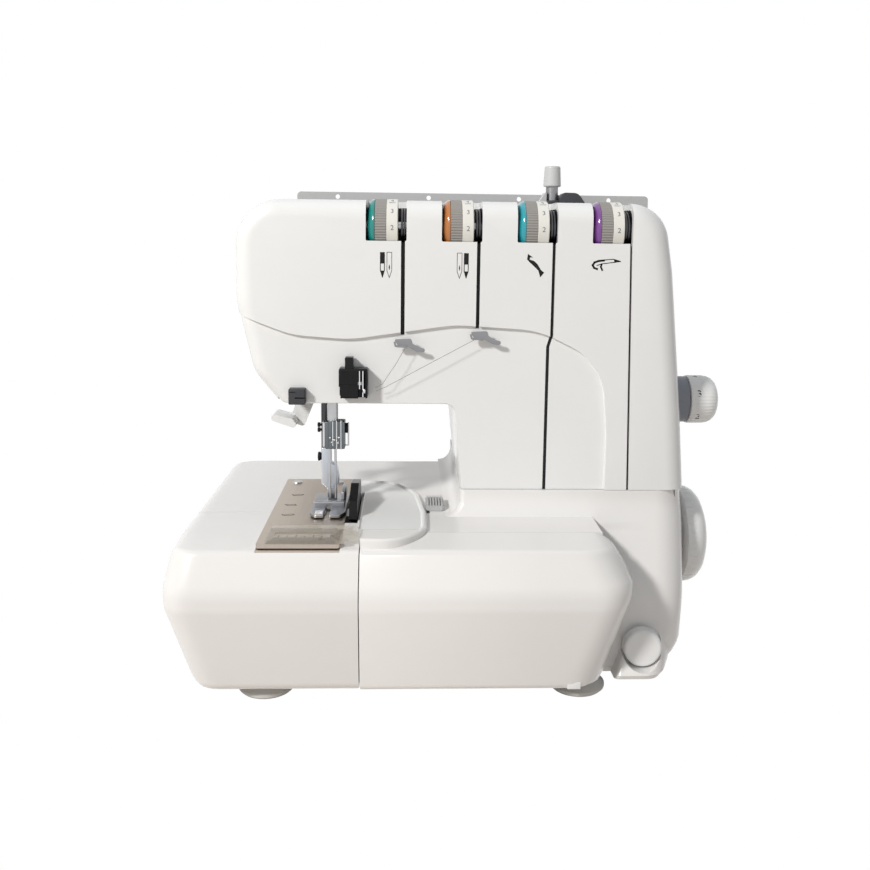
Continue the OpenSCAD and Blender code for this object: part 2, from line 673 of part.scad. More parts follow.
module seam_guide() color([0.85, 0.88, 0.88, 0.45]) difference() {
    union() {
        block([plate_left + 5, plate_front + 1, plate_top], [plate_right + 4, plate_front + 29, plate_top + 2]);
        block([plate_right - 2, plate_front + 5, plate_top], [plate_right + 10, y_deck - 1.5, plate_top + 4]);
    }
    block([plate_left + 9, plate_front + 12, plate_top - 1], [plate_right - 5.5, plate_front + 16, plate_top + 5]);
}

module lower_knife() color("silver") translate([plate_right + 0.1, 0, 0])
    along_x(0, 2) translate([needle_y, plate_top])
        polygon([[-16, -0.4], [-2, 0], [12, -23.4], [12, -43.4], [-4, -43.4], [-16, -17.4]]);

upper_knife_y = -24;
upper_knife_z = 60;
module upper_knife() color([0.1, 0.1, 0.1]) {
    translate([knife_x, 0, 0]) along_x(0, knife_t) {
        translate([upper_knife_y, upper_knife_z]) circle(7);
        polygon([[-82, bed_h + 1], [-68, bed_h + 1], [-66, bed_h - 12], [-52, 78], [-31, 58], [-18, 63],
            [-33, 86], [-36, bed_h + 14], [-60, bed_h + 18], [-80, bed_h + 12]]);
    }
    rod_x(plate_right - 8, knife_x + e, upper_knife_y, upper_knife_z, 3);
}

feed_front = -70;
tooth = 2.2;
teeth = 16;
module feed_dogs() color([0.7, 0.7, 0.72]) {
    for (x = feed_slots) translate([feed_x + x - 1.2, 0, 0]) along_x(0, 2.4)
        polygon([[feed_front, feed_z + 4],
            each [for (i = [0 : teeth - 1]) each [[feed_front + i * tooth, plate_top - 0.4],
                [feed_front + 0.6 + i * tooth, plate_top + 0.5]]],
            [feed_front + teeth * tooth, plate_top - 0.4], [feed_front + teeth * tooth, feed_z + 4]]);
    block([feed_x - feed_w / 2, feed_front, feed_z], [feed_x + feed_w / 2, 30, feed_z + 10]);
}

// a curved blade on a shaft along Y; s gives the side it points to
module looper(at, y, r, sweep) {
    rod_y(y, frame_y - 2.5, at.x, at.y, looper_shaft_r);
    along_y(y, y + looper_t) translate(at) {
        circle(looper_shaft_r + 4);
        polygon([[-5, 0], [5, 0], [2.5, r - 2], [-2.5, r - 2]]);
        // blade with a pointed tip
        polygon([for (i = [0 : 10]) (r + 2) * [-sin(sweep * i / 10 - 4), cos(sweep * i / 10 - 4)],
            for (i = [8 : -1 : 0]) (r - 3) * [-sin(sweep * i / 10 - 4), cos(sweep * i / 10 - 4)]]);
    }
}
module lower_looper() color("silver") difference() {
    looper(lower_looper_at, lower_looper_y, 46, 36);
    rod_y(lower_looper_y - 1, lower_looper_y + looper_t + 1, lower_looper_at.x, lower_looper_at.y + 38, 1);
}
module upper_looper() color("silver") difference() {
    looper(upper_looper_at, upper_looper_y, 38, 44);
    rod_y(upper_looper_y - 1, upper_looper_y + looper_t + 1, upper_looper_at.x, upper_looper_at.y + 30, 1);
}

module needle_bar() color("silver") {
    rod_z(clamp_top - 5, bracket_high + 22, needle_x, needle_y, needle_bar_r);
    // driving block between the bracket arms
    round_box([needle_x - 6, needle_y - 6, drive_block_h], [needle_x + 6, needle_y + 6, drive_block_h + 8], 2);
}
module needle_clamp() color([0.3, 0.3, 0.31]) difference() {
    union() {
        round_box([needle_x - 6, needle_y - 5, clamp_foot], [needle_x + 8, needle_y + 5, clamp_top], 2.5);
        // heads of the clamp screws
        rod_x(needle_x + 8 - e, needle_x + 11, needle_y, clamp_top - 4, 3);
        rod_x(needle_x - 10, needle_x - 6 + e, needle_y, clamp_foot + 4, 3);
        rod_x(needle_x - 10, needle_x - 6 + e, needle_y, clamp_top - 4, 2.4);
    }
    rod_z(clamp_top - 5, clamp_top + 5, needle_x, needle_y, needle_bar_r);
    for (s = [-1, 1])
        rod_z(clamp_foot - 7, clamp_foot + 9, needle_x + s * needle_gap / 2, needle_y, needle_r);
}
needle_tip = plate_top + 3;
module needles() color([0.75, 0.75, 0.77]) for (s = [-1, 1]) {
    rod_z(clamp_foot - 10, clamp_foot + 9, needle_x + s * needle_gap / 2, needle_y, needle_r);
    rod_z(needle_tip + 4, clamp_foot - 10 + e, needle_x + s * needle_gap / 2, needle_y, 0.5);
    translate([needle_x + s * needle_gap / 2, needle_y, needle_tip]) cylinder(h = 4 + e, r1 = 0.12, r2 = 0.5);
}

module presser_bar() color("silver") {
    rod_z(holder_top - 16, bracket_high + 16, presser_x, presser_y, presser_bar_r);
    round_box([presser_x - 6, presser_y - 6, lift_block_h],
        [presser_x + 5, presser_y + 6, lift_block_h + 8], 2);
}
module foot_holder() color([0.45, 0.45, 0.46]) difference() {
    union() {
        round_box([presser_x - 5, presser_y - 7, holder_foot], [presser_x + 6, presser_y + 6, holder_top], 2);
        block([presser_x, foot_pin_y - 5, foot_pin_z - 3.4], [needle_x + 6, foot_pin_y + 5, holder_foot + 1]);
        rod_x(presser_x - 10, presser_x - 5 + e, presser_y, holder_foot + 12, 3.5);
    }
    rod_z(holder_top - 16, holder_top + 6, presser_x, presser_y, presser_bar_r);
    rod_x(presser_x - 2, needle_x + 8, foot_pin_y, foot_pin_z, foot_pin_r + run_gap);
}
module presser_foot() color("silver") difference() {
    union() {
        // sole with an upturned toe
        along_x(needle_x - 2 - sole_w / 2, needle_x - 2 + sole_w / 2) translate([needle_y, plate_top])
            polygon([[-24, 4.5], [-20, 1], [-16, 0.7], [22, 0.7], [24, 1.6], [22, 3], [-16, 3], [-23, 6]]);
        for (x = [presser_x - 3.4, needle_x + 6.4])
            block([x, foot_pin_y - 4, plate_top + 2], [x + 3, foot_pin_y + 4, foot_pin_z + 3]);
        rod_x(presser_x - 3.4, needle_x + 9.4, foot_pin_y, foot_pin_z, foot_pin_r);
    }
    block([needle_x - 4, needle_y - 4, plate_top - 1], [needle_x + 4, needle_y + 3, plate_top + 5]);
    block([needle_x + 5.2, needle_y - 26, plate_top - 1], [needle_x + 6.2, needle_y + 4, plate_top + 8]);
}

module lifter_lever() color([0.88, 0.88, 0.85]) difference() {
    union() {
        along_y(lifter_y, lifter_y + lifter_t) {
            translate(lifter_at) circle(5.8);
            translate(lifter_at) polygon(rounded([[-5, 3, 0], [6, -2, 0], [-8, -36, 2], [-28, -29, 2],
                [-27, -25, 2], [-15.5, -28, 3], [-12, -14, 4]]));
        }
        // finger tab
        along_y(lifter_y - 14, lifter_y + e) translate(lifter_at)
            polygon(rounded([[-8, -36, 2], [-28, -29, 2], [-27, -25, 1.6], [-14, -28, 1]]));
    }
    rod_y(lifter_y - 1, lifter_y + lifter_t + 1, lifter_at.x, lifter_at.y, 3 + run_gap);
}

module take_up_lever() color("silver") difference() {
    union() {
        rod_x(take_up_x - 2.5, take_up_x + 3.5, take_up_y, take_up_z, 2 * take_up_pin_r);
        along_x(take_up_x - 1, take_up_x + 1.2)
            polygon([[take_up_y, take_up_z + 3], [take_up_y, take_up_z - 3],
                [y_arm - 5, take_up_z - 0.6], [y_arm - 5, take_up_z + 1.4]]);
    }
    rod_x(take_up_x - 4, take_up_x + 6, take_up_y, take_up_z, take_up_pin_r + run_gap);
}
module take_up_cover() color([0.07, 0.07, 0.07]) difference() {
    union() {
        along_y(y_arm - 7, y_arm + wave_step) translate([take_up_x, take_up_z])
            polygon(rounded([[-12.7, -9, 2], [5, -9, 2], [5, 9.8, 2], [-3.9, 9.8, 0],
                [-3.9, 16.5, 2], [-8.9, 16.5, 2], [-8.9, 9.8, 0], [-12.7, 9.8, 2]]));
        rod_y(y_arm, y_arm + 7, face_pegs[0].x, face_pegs[0].y, peg_r);
    }
    block([take_up_x - 2.5, y_arm - 8, take_up_z - 7], [take_up_x + 3.5, y_arm + 3, take_up_z + 8]);
}
module thread_cutter() color([0.2, 0.2, 0.2]) difference() {
    union() {
        along_y(y_arm - 4, y_arm + wave_step) translate([cutter_x, cutter_z])
            polygon(rounded([[0, 0, 2], [10.4, 0, 3], [10.4, 10, 2], [0, 10, 2]]));
        rod_y(y_arm, y_arm + 7, face_pegs[1].x, face_pegs[1].y, peg_r);
    }
    // slot that the thread is drawn into
    block([cutter_x - 1.2, y_arm - 5, cutter_z + 4], [cutter_x + 4.8, y_arm - 1, cutter_z + 5.2]);
}
module face_thread_guides() color([0.7, 0.7, 0.7]) for (p = [face_pegs[2], face_pegs[3]]) {
    along_y(y_arm, y_arm + wave_step) translate([p.x - 6, p.y - 1.5]) square([11, 6]);
    along_y(y_arm - 4, y_arm + e) translate(p) polygon([[-3, 2], [9, -3], [14, -4.5], [9, -1.6], [-3, 4]]);
    rod_y(y_arm + wave_step - e, y_arm + 7, p.x, p.y, peg_r);
}

module cutting_width_slide() color([0.35, 0.36, 0.37]) {
    for (i = [0 : 5]) block([-21.6 + i * 1.8, -61, bed_h + 1], [-20.6 + i * 1.8, -43, bed_h + 5]);
    round_box([-22.4, -62, bed_h + 0.3], [-10.8, -42, bed_h + 3.4], 1.5);
}

// ---------- tension units ----------
module dial(i, tint) {
    color(tint) difference() {
        union() {
            rod_x(dial_x(i) - dial_w / 2, dial_x(i) - dial_w / 2 + 4.2, dial_y, dial_z, dial_r - 0.5);
            along_x(dial_x(i) - dial_w / 2 + 4.2, dial_x(i) + 2.1) translate([dial_y, dial_z])
                polygon([for (k = [0 : 2 * dial_ridges - 1]) (dial_r - 0.8 * (k % 2)) *
                    [cos(180 * k / dial_ridges), sin(180 * k / dial_ridges)]]);
            rod_x(dial_x(i) + 2.1, dial_x(i) + dial_w / 2, dial_y, dial_z, dial_r - 0.6);
        }
        rod_x(dial_x(i) - dial_w, dial_x(i) + dial_w, dial_y, dial_z, post_r + run_gap);
    }
}
module tension_dial_1() dial(0, [0.06, 0.52, 0.48]);
module tension_dial_2() dial(1, [0.75, 0.4, 0.12]);
module tension_dial_3() dial(2, [0.1, 0.6, 0.68]);
module tension_dial_4() dial(3, [0.4, 0.15, 0.5]);

ear_t = 2;
ear_left = dial_w / 2 + 1.5;
ear_right = slot_off + 4;
module tension_bracket() color([0.12, 0.12, 0.12]) difference() {
    union() {
        block([dial_x(0) - ear_left - ear_t, dial_y + dial_r + 2.5, window_bottom - 14],
            [dial_x(3) + ear_right + ear_t, dial_y + dial_r + 6, arm_top_h - arm_wall - 1]);
        for (i = [0 : 3], x = [-ear_left - ear_t, ear_right])
            block([dial_x(i) + x, dial_y - 7, dial_z - 8],
                [dial_x(i) + x + ear_t, dial_y + dial_r + 3, dial_z + 8]);
        for (x = [dial_x(0) + 20, dial_x(3) - 20])
            block([x, dial_y + dial_r + 5, dial_z - 12], [x + 10, frame_y, dial_z]);
    }
    for (i = [0 : 3]) rod_x(dial_x(i) - 20, dial_x(i) + 30, dial_y, dial_z, post_r);
}
module tension_posts() color("silver") for (i = [0 : 3])
    rod_x(dial_x(i) - ear_left - ear_t, dial_x(i) + ear_right + ear_t, dial_y, dial_z, post_r);
module tension_discs() color([0.8, 0.8, 0.8]) for (i = [0 : 3], s = [-1, 1]) difference() {
    rod_x(slot_x(i) + s * 0.8 - 0.5, slot_x(i) + s * 0.8 + 0.5, dial_y, dial_z, 11);
    rod_x(slot_x(i) - 5, slot_x(i) + 5, dial_y, dial_z, post_r);
}

// ---------- right side ----------
module length_dial_base() color([0.6, 0.61, 0.62]) difference() {
    union() {
        rod_x(x_right - 12, length_base_end - 0.4, length_dial_at.x, length_dial_at.y, 5);
        difference() {
            rod_x(x_right - 7, length_base_end - 0.4, length_dial_at.x, length_dial_at.y,
                length_dial_r - 0.8);
            arm_form(0, 0, 0);
        }
    }
    rod_x(x_right - 13, length_base_end, length_dial_at.x, length_dial_at.y, 3 + run_gap);
}
module length_dial() color("white") {
    rod_x(x_right - 11, length_base_end + 1, length_dial_at.x, length_dial_at.y, 3);
    translate([length_base_end, length_dial_at.x, length_dial_at.y]) rotate([0, 90, 0]) rotate_extrude()
        polygon(rounded([[0, 0, 0], [length_dial_r, 0, 1],
            [length_dial_r - 0.8, length_dial_end - length_base_end, 2.5],
            [0, length_dial_end - length_base_end, 0]]));
}
module feed_ratio_knob() color("white") {
    rod_y(knob_y - 5, knob_y + 14, knob_x, knob_z, 3 - run_gap);
    translate([knob_x, knob_y, knob_z]) rotate([90, 0, 0]) rotate_extrude()
        polygon(rounded([[0, 0, 0], [knob_r, 0, 0], [knob_r - 0.6, knob_t, 2], [0, knob_t, 0]]));
}
knob_y = y_deck - 0.5;
knob_t = 6;
module handwheel() color("white") difference() {
    translate([wheel_x, shaft_y, shaft_h]) rotate([0, 90, 0]) rotate_extrude()
        polygon(rounded([[0, 0, 0], [12, 0, 0], [wheel_r - 3, 1.5, 1], [wheel_r, 4, 2],
            [wheel_r - 0.5, wheel_w * 0.55, 9], [wheel_r * 0.55, wheel_w, 12], [0, wheel_w, 0]]));
    rod_x(wheel_x - 1, wheel_x + 10, shaft_y, shaft_h, shaft_r - 1);
}
module main_shaft() color("silver") {
    rod_x(bearing_xs[0] - 14, wheel_x, shaft_y, shaft_h, shaft_r);
    rod_x(wheel_x - e, wheel_x + 10, shaft_y, shaft_h, shaft_r - 1);
    // eccentrics and collars
    for (x = [-14, 2, 52]) rod_x(x, x + 8, shaft_y - 1.4, shaft_h, shaft_r + 2);
    // grooved pulley
    translate([pulley_x, shaft_y, shaft_h]) pulley(big_pulley_r);
}
module pulley(r) rotate([0, 90, 0]) rotate_extrude() polygon([[0, -1], [r + 2, -1], [r + 2, 0.5],
    [r, 1], [r, pulley_w - 1], [r + 2, pulley_w - 0.5], [r + 2, pulley_w + 1], [0, pulley_w + 1]]);
rotor_r = 4;
module motor_housing() color([0.25, 0.25, 0.27]) difference() {
    rod_x(pulley_x - 72, pulley_x - 8, motor_y, motor_z, motor_r);
    rod_x(pulley_x - 50, pulley_x - 7, motor_y, motor_z, rotor_r + run_gap);
}
module motor_rotor() color("silver") {
    rod_x(pulley_x - 46, pulley_x + pulley_w + 2, motor_y, motor_z, rotor_r);
    translate([pulley_x, motor_y, motor_z]) pulley(small_pulley_r);
}
belt_t = 2;
module belt_loop(grow) hull() {
    translate([shaft_y, shaft_h]) circle(big_pulley_r + grow);
    translate([motor_y, motor_z]) circle(small_pulley_r + grow);
}
module drive_belt() color([0.1, 0.1, 0.1]) along_x(pulley_x + 1.6, pulley_x + pulley_w - 1.6) difference() {
    belt_loop(belt_t + 0.1);
    belt_loop(0.1);
}

module switch_form(d) block([x_right - 8, 34 + d, 60 + d], [x_right + 1, 54 - d, 84 - d]);
module inlet_form(d) block([x_right - 16, 32 + d, 28 + d], [x_right + 1, 56 - d, 48 - d]);
module power_switch() color([0.1, 0.1, 0.1]) {
    translate([x_right - 4, 44, 72]) along_y(-9.4, 9.4)
        polygon([[-1, -11], [3, -11], [2.6, 0], [4.6, 11], [0, 11], [-3.4, 0]]);
    rod_y(33.4, 54.6, x_right - 4, 72, 1);
}
module power_inlet() color([0.08, 0.08, 0.08]) difference() {
    block([x_right - 16, 32, 28], [x_right, 56, 48]);
    block([x_right - 13, 35, 31], [x_right + 1, 53, 45]);
}

// ---------- spool stand ----------
pin_y = 104;
pins = [for (i = [0 : 3]) [(i - 1.5) * pin_pitch + 4, pin_y]];
stand_left = pins[0].x - 33;
stand_right = pins[3].x + 41;
rim = 4;
module spool_stand() color([0.9, 0.9, 0.88]) difference() {
    union() {
        round_box([stand_left, stand_front + 6, stand_h], [stand_right, stand_reach, stand_top], 14);
        difference() {
            round_box([stand_left, stand_front + 6, stand_top - e],
                [stand_right, stand_reach, stand_top + rim], 14);
            round_box([stand_left + 3, stand_front + 9, stand_top - 1],
                [stand_right - 3, stand_reach - 3, stand_top + rim + 1], 11);
        }
        // arms that hook on the rear cover
        for (x = [-90, 10, 100]) {
            block([x, y_arm_rear, stand_h], [x + 16, stand_front + 12, stand_top]);
            block([x, y_arm_rear, stand_h], [x + 16, y_arm_rear + 4, stand_top + 34]);
        }
        rod_z(stand_top - e, stand_top + 12, mast_x, mast_y, 10);
    }
    rod_z(stand_h - 1, stand_top + 13, mast_x, mast_y, rod_r + 2);
    for (p = pins) rod_z(stand_h - 1, stand_top + 1, p.x, p.y, 3);
}
module spool_pins() color([0.85, 0.85, 0.84]) for (p = pins) {
    rod_z(stand_h, stand_top + pin_h - 3, p.x, p.y, 3);
    translate([p.x, p.y, stand_top + pin_h - 3 - e]) cylinder(h = 3, r1 = 3, r2 = 1.6);
}
module cone_holders() color([0.8, 0.8, 0.8]) for (p = pins) translate([p.x, p.y, stand_top]) difference() {
    rotate_extrude() polygon([[0, 0], [22, 0], [22, 2.5], [15, 3], [9, 34], [7, 36], [0, 36]]);
    translate([0, 0, -1]) cylinder(h = 40, r = 3);
}
mast_drop = mast_top_h - 15;
module mast_tube() color([0.75, 0.75, 0.76]) difference() {
    rod_z(stand_h, bar_z - 10, mast_x, mast_y, rod_r + 2);
    rod_z(stand_h + 3, bar_z, mast_x, mast_y, rod_r + 1 + run_gap);
}
module mast_middle() color([0.82, 0.82, 0.83]) difference() {
    rod_z(stand_h + 4, bar_z - 4, mast_x, mast_y, rod_r + 1);
    rod_z(stand_h + 6, bar_z, mast_x, mast_y, rod_r + run_gap);
}
module mast_rod() color("silver") rod_z(stand_h + 8, mast_drop + 8, mast_x, mast_y, rod_r);
module mast_cap() color([0.88, 0.88, 0.88]) difference() {
    translate([mast_x, mast_y, 0]) rotate_extrude() polygon(rounded([[0, mast_drop, 0],
        [rod_r + 2.1, mast_drop, 1], [rod_r + 1.3, mast_top_h, 1.2], [0, mast_top_h, 0]]));
    rod_z(mast_drop - 1, mast_drop + 8, mast_x, mast_y, rod_r);
}
module guide_bar_collar() color([0.1, 0.1, 0.1]) difference() {
    union() {
        rod_z(bar_z + 2, bar_z + 16, mast_x, mast_y, 7.8);
        block([mast_x - 14, mast_y + 1, bar_z + 4], [mast_x + 24, bar_y, bar_z + 15]);
    }
    rod_z(bar_z, bar_z + 20, mast_x, mast_y, rod_r);
}
module thread_guide_bar() color([0.72, 0.72, 0.72]) difference() {
    along_y(bar_y, bar_y + 1.5) polygon(rounded([[bar_left, bar_z, 3], [bar_left + bar_len, bar_z, 3],
        [bar_left + bar_len, bar_z + bar_h, 3], [bar_left, bar_z + bar_h, 3]]));
    // thread holes
    for (i = [0 : 3])
        rod_y(bar_y - 1, bar_y + 3, bar_left + 30 + i * (bar_len - 60) / 3, bar_z + bar_h - 3.4, 1.7);
}

module screws() color([0.5, 0.5, 0.5]) {
    for (p = rear_screws) {
        rod_y(y_arm_rear - 16, y_arm_rear - 2 + e, p.x, p.y, 2);
        rod_y(y_arm_rear - 2, y_arm_rear - 0.6, p.x, p.y, 4.2);
    }
    for (p = plate_screws) {
        rod_z(bed_h - plate_t - 4, bed_h + 1, p.x, p.y, 1.6);
        translate([p.x, p.y, plate_top]) cylinder(h = 0.9, r1 = 3.6, r2 = 3);
    }
}

base_tray();
rubber_feet();
side_cover();
bed_cover();
column_base_cover();
looper_cover();
cover_hinge_rod();
finger_table();
arm_front_cover();
arm_rear_cover();
slot_liners();
main_frame();
head_bracket();
stitch_plate();
seam_guide();
screws();
lower_knife();
upper_knife();
feed_dogs();
lower_looper();
upper_looper();
main_shaft();
handwheel();
motor_housing();
motor_rotor();
drive_belt();
needle_bar();
needle_clamp();
needles();
presser_bar();
foot_holder();
presser_foot();
lifter_lever();
take_up_lever();
take_up_cover();
thread_cutter();
face_thread_guides();
tension_bracket();
tension_posts();
tension_discs();
tension_dial_1();
tension_dial_2();
tension_dial_3();
tension_dial_4();
length_dial_base();
length_dial();
feed_ratio_knob();
cutting_width_slide();
power_switch();
power_inlet();
lamp_lens();
spool_stand();
spool_pins();
cone_holders();
mast_tube();
mast_middle();
mast_rod();
mast_cap();
thread_guide_bar();
guide_bar_collar();
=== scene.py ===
import math

import bmesh
import bpy
from mathutils import Matrix, Vector


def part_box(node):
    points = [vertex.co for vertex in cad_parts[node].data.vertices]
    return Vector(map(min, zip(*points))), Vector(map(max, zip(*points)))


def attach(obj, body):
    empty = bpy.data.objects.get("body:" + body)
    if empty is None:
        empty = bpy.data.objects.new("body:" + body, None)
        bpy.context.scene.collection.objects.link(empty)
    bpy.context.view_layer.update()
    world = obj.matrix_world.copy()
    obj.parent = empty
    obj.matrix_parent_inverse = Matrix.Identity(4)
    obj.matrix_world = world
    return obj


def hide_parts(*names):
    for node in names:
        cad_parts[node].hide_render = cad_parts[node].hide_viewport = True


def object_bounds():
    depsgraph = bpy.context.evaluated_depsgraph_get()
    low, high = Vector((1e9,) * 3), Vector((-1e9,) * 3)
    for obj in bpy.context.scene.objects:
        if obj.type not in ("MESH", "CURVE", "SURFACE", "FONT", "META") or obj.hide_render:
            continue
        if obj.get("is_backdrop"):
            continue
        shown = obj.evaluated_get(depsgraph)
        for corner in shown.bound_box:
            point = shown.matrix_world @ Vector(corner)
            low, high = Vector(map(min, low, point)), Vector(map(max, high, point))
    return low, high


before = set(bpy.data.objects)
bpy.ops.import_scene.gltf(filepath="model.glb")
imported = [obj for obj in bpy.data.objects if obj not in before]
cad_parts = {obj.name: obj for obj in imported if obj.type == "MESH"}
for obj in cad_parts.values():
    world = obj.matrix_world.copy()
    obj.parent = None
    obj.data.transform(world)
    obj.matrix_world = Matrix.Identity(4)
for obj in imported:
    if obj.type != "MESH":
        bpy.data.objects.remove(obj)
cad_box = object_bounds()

# Overlock sewing machine: glossy white covers with their rounded forms, four tension dials,
# the sewing area and the thread mast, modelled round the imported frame.
# Numbers are millimetres unless a comment says otherwise. MM turns them into metres.
MM = 0.001


# ---- places, from the frame
def reach(node):
    """Lowest and highest corner of a CAD node, in millimetres."""
    low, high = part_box(node)
    return low / MM, high / MM


(X_LEFT, Y_FRONT, FOOT), (X_JOINT, Y_SIDE, BED) = reach("side_cover")
X_BED_END, Y_BED_REAR, _ = reach("bed_cover")[1]
X_RIGHT, _, SEAM = reach("column_base_cover")[1]
(FLAP_LEFT, _, _), (FLAP_RIGHT, FLAP_REAR, _) = reach("looper_cover")
(ARM_LEFT, Y_ARM, _), (_, _, ARM_TOP) = reach("arm_front_cover")
(_, Y_ARM_SPLIT, _), (_, Y_ARM_REAR, _) = reach("arm_rear_cover")
plate_lo, plate_hi = reach("stitch_plate")
slide_lo, slide_hi = reach("cutting_width_slide")
Y_DECK = Y_ARM - 36  # where the looper cover ends and the deck begins
ARM_UNDER = SEAM + 53.4  # underside of the arm
CREASE = BED - 3  # where the front turns over onto the bed
BELLY = FOOT + 58  # height at which the base stands out furthest
WALL, ARM_WALL = 2.6, 4.0
WAVE_STEP = 2.2  # depth of the wave-shaped step across the arm
HAIR = 0.25  # half the gap between two covers
LENGTH_AXIS, WHEEL_AXIS = (-25, 164.5), (-20, 69)  # (y, z) of the length dial and the handwheel
FEED_KNOB = (109, 26)  # (x, z) of the differential feed knob


# ---- modelling helpers
def clear():
    """Object mode, with nothing selected."""
    if bpy.context.object and bpy.context.object.mode != "OBJECT":
        bpy.ops.object.mode_set(mode="OBJECT")
    bpy.ops.object.select_all(action="DESELECT")


def only(piece):
    """Selects one piece alone and makes it active."""
    clear()
    piece.select_set(True)
    bpy.context.view_layer.objects.active = piece


def edit(piece, kind):
    """Edit mode, with all of a piece's edges or faces selected."""
    only(piece)
    bpy.ops.object.mode_set(mode="EDIT")
    bpy.ops.mesh.select_mode(type=kind)
    bpy.ops.mesh.select_all(action="SELECT")


def outward(piece):
    """Turns every face of a closed piece outwards."""
    edit(piece, "FACE")
    bpy.ops.mesh.normals_make_consistent(inside=False)
    bpy.ops.object.mode_set(mode="OBJECT")
    return piece


def loft(name, rings):
    """A closed solid through rings of as many points each, given in mm, with flat ends."""
    clear()
    bpy.ops.mesh.primitive_circle_add(vertices=len(rings[0]), radius=1, fill_type="NGON")
    piece = bpy.context.object
    piece.name = name
    bpy.ops.object.mode_set(mode="EDIT")
    bpy.ops.mesh.select_mode(type="FACE")
    mesh = bmesh.from_edit_mesh(piece.data)
    mesh.faces.ensure_lookup_table()
    for vert, point in zip(mesh.faces[0].verts, rings[0]):
        vert.co = Vector(point) * MM
    bmesh.update_edit_mesh(piece.data)
    bpy.ops.mesh.select_all(action="SELECT")
    for ring in rings[1:]:
        bpy.ops.mesh.extrude_region_move()
        mesh = bmesh.from_edit_mesh(piece.data)
        cap = [face for face in mesh.faces if face.select][0]
        for vert, point in zip(cap.verts, ring):
            vert.co = Vector(point) * MM
        bmesh.update_edit_mesh(piece.data)
    bpy.ops.object.mode_set(mode="OBJECT")
    return outward(piece)


def brick(name, low, high, edge):
    """A block between two corners, with its edges rounded."""
    clear()
    low, high = Vector(low), Vector(high)
    bpy.ops.mesh.primitive_cube_add(size=1, location=(low + high) * MM / 2)
    piece = bpy.context.object
    piece.name = name
    piece.scale = (high - low) * MM
    bpy.ops.object.transform_apply(location=True, rotation=True, scale=True)
    if edge:
        edit(piece, "EDGE")
        bpy.ops.mesh.bevel(offset=edge * MM, segments=3, affect="EDGES")
        bpy.ops.object.mode_set(mode="OBJECT")
    return piece


def turned(name, axis, centre, steps, sides=64):
    """A turned piece: (place along the axis, radius) steps round an axis through a centre."""
    def ring(along, radius):
        for k in range(sides):
            turn = 2 * math.pi * k / sides
            a, b = radius * math.cos(turn), radius * math.sin(turn)
            yield {"X": (along, centre[0] + a, centre[1] + b),
                   "Y": (centre[0] + b, along, centre[1] + a),
                   "Z": (centre[0] + a, centre[1] + b, along)}[axis]
    return loft(name, [list(ring(along, max(radius, 0.02))) for along, radius in steps])


def carve(piece, *cutters, mode="DIFFERENCE"):
    """Takes the cutters out of a piece, or fuses them with it."""
    for cutter in cutters:
        only(piece)
        tool = piece.modifiers.new("carve", "BOOLEAN")
        tool.operation = mode
        tool.solver = "EXACT"
        tool.object = cutter
        bpy.ops.object.modifier_apply(modifier=tool.name)
        bpy.data.objects.remove(cutter)
    return piece


def chop(piece, point, normal):
    """Cuts off what lies on the normal's side of a plane, and closes the cut."""
    edit(piece, "FACE")
    bpy.ops.mesh.bisect(plane_co=Vector(point) * MM, plane_no=normal, use_fill=True,
                        clear_outer=True)
    bpy.ops.object.mode_set(mode="OBJECT")
    return piece


def twin(piece, name):
    only(piece)
    bpy.ops.object.duplicate()
    copy = bpy.context.object
    copy.name = name
    return copy


def soften(piece, width, segments, angle=40):
    """A small round on every edge sharper than the angle."""
    only(piece)
    tool = piece.modifiers.new("soften", "BEVEL")
    tool.width = width * MM
    tool.segments = segments
    tool.limit_method = "ANGLE"
    tool.angle_limit = math.radians(angle)
    tool.use_clamp_overlap = True
    bpy.ops.object.modifier_apply(modifier=tool.name)
    return piece


def join(name, *parts):
    clear()
    for part in parts:
        part.select_set(True)
    bpy.context.view_layer.objects.active = parts[0]
    bpy.ops.object.join()
    bpy.context.object.name = name
    return bpy.context.object


def done(piece, body, slot, finish, *nodes, angle=38):
    """Smooths, paints and mounts a finished piece."""
    only(piece)
    bpy.ops.object.shade_smooth_by_angle(angle=math.radians(angle))
    if finish is not None:
        piece.data.materials.clear()
        piece.data.materials.append(finish)
    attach(piece, body)
    if nodes:
        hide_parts(*nodes)
    return piece


# ---- outlines
def inset(corners, depth, weights=None):
    """Moves each side of an outline inwards by depth times its weight."""
    count = len(corners)
    weights = weights or [1] * count
    turning = sum(a[0] * b[1] - b[0] * a[1] for a, b in zip(corners, corners[1:] + corners[:1]))
    side = 1 if turning > 0 else -1
    lines = []
    for i in range(count):
        a, b = Vector(corners[i][:2]), Vector(corners[(i + 1) % count][:2])
        run = (b - a).normalized()
        lines.append((a + Vector((-run.y, run.x)) * side * depth * weights[i], run))
    moved = []
    for i in range(count):
        (p, u), (q, v) = lines[i - 1], lines[i]
        cross = u.x * v.y - u.y * v.x
        t = ((q - p).x * v.y - (q - p).y * v.x) / cross
        corner = p + u * t
        radius = corners[i][2]
        if radius:
            shrink = depth * (weights[i - 1] + weights[i]) / 2
            radius = max(radius - shrink if cross * side > 0 else radius + shrink, 0.5)
        moved.append((corner.x, corner.y, radius))
    return moved


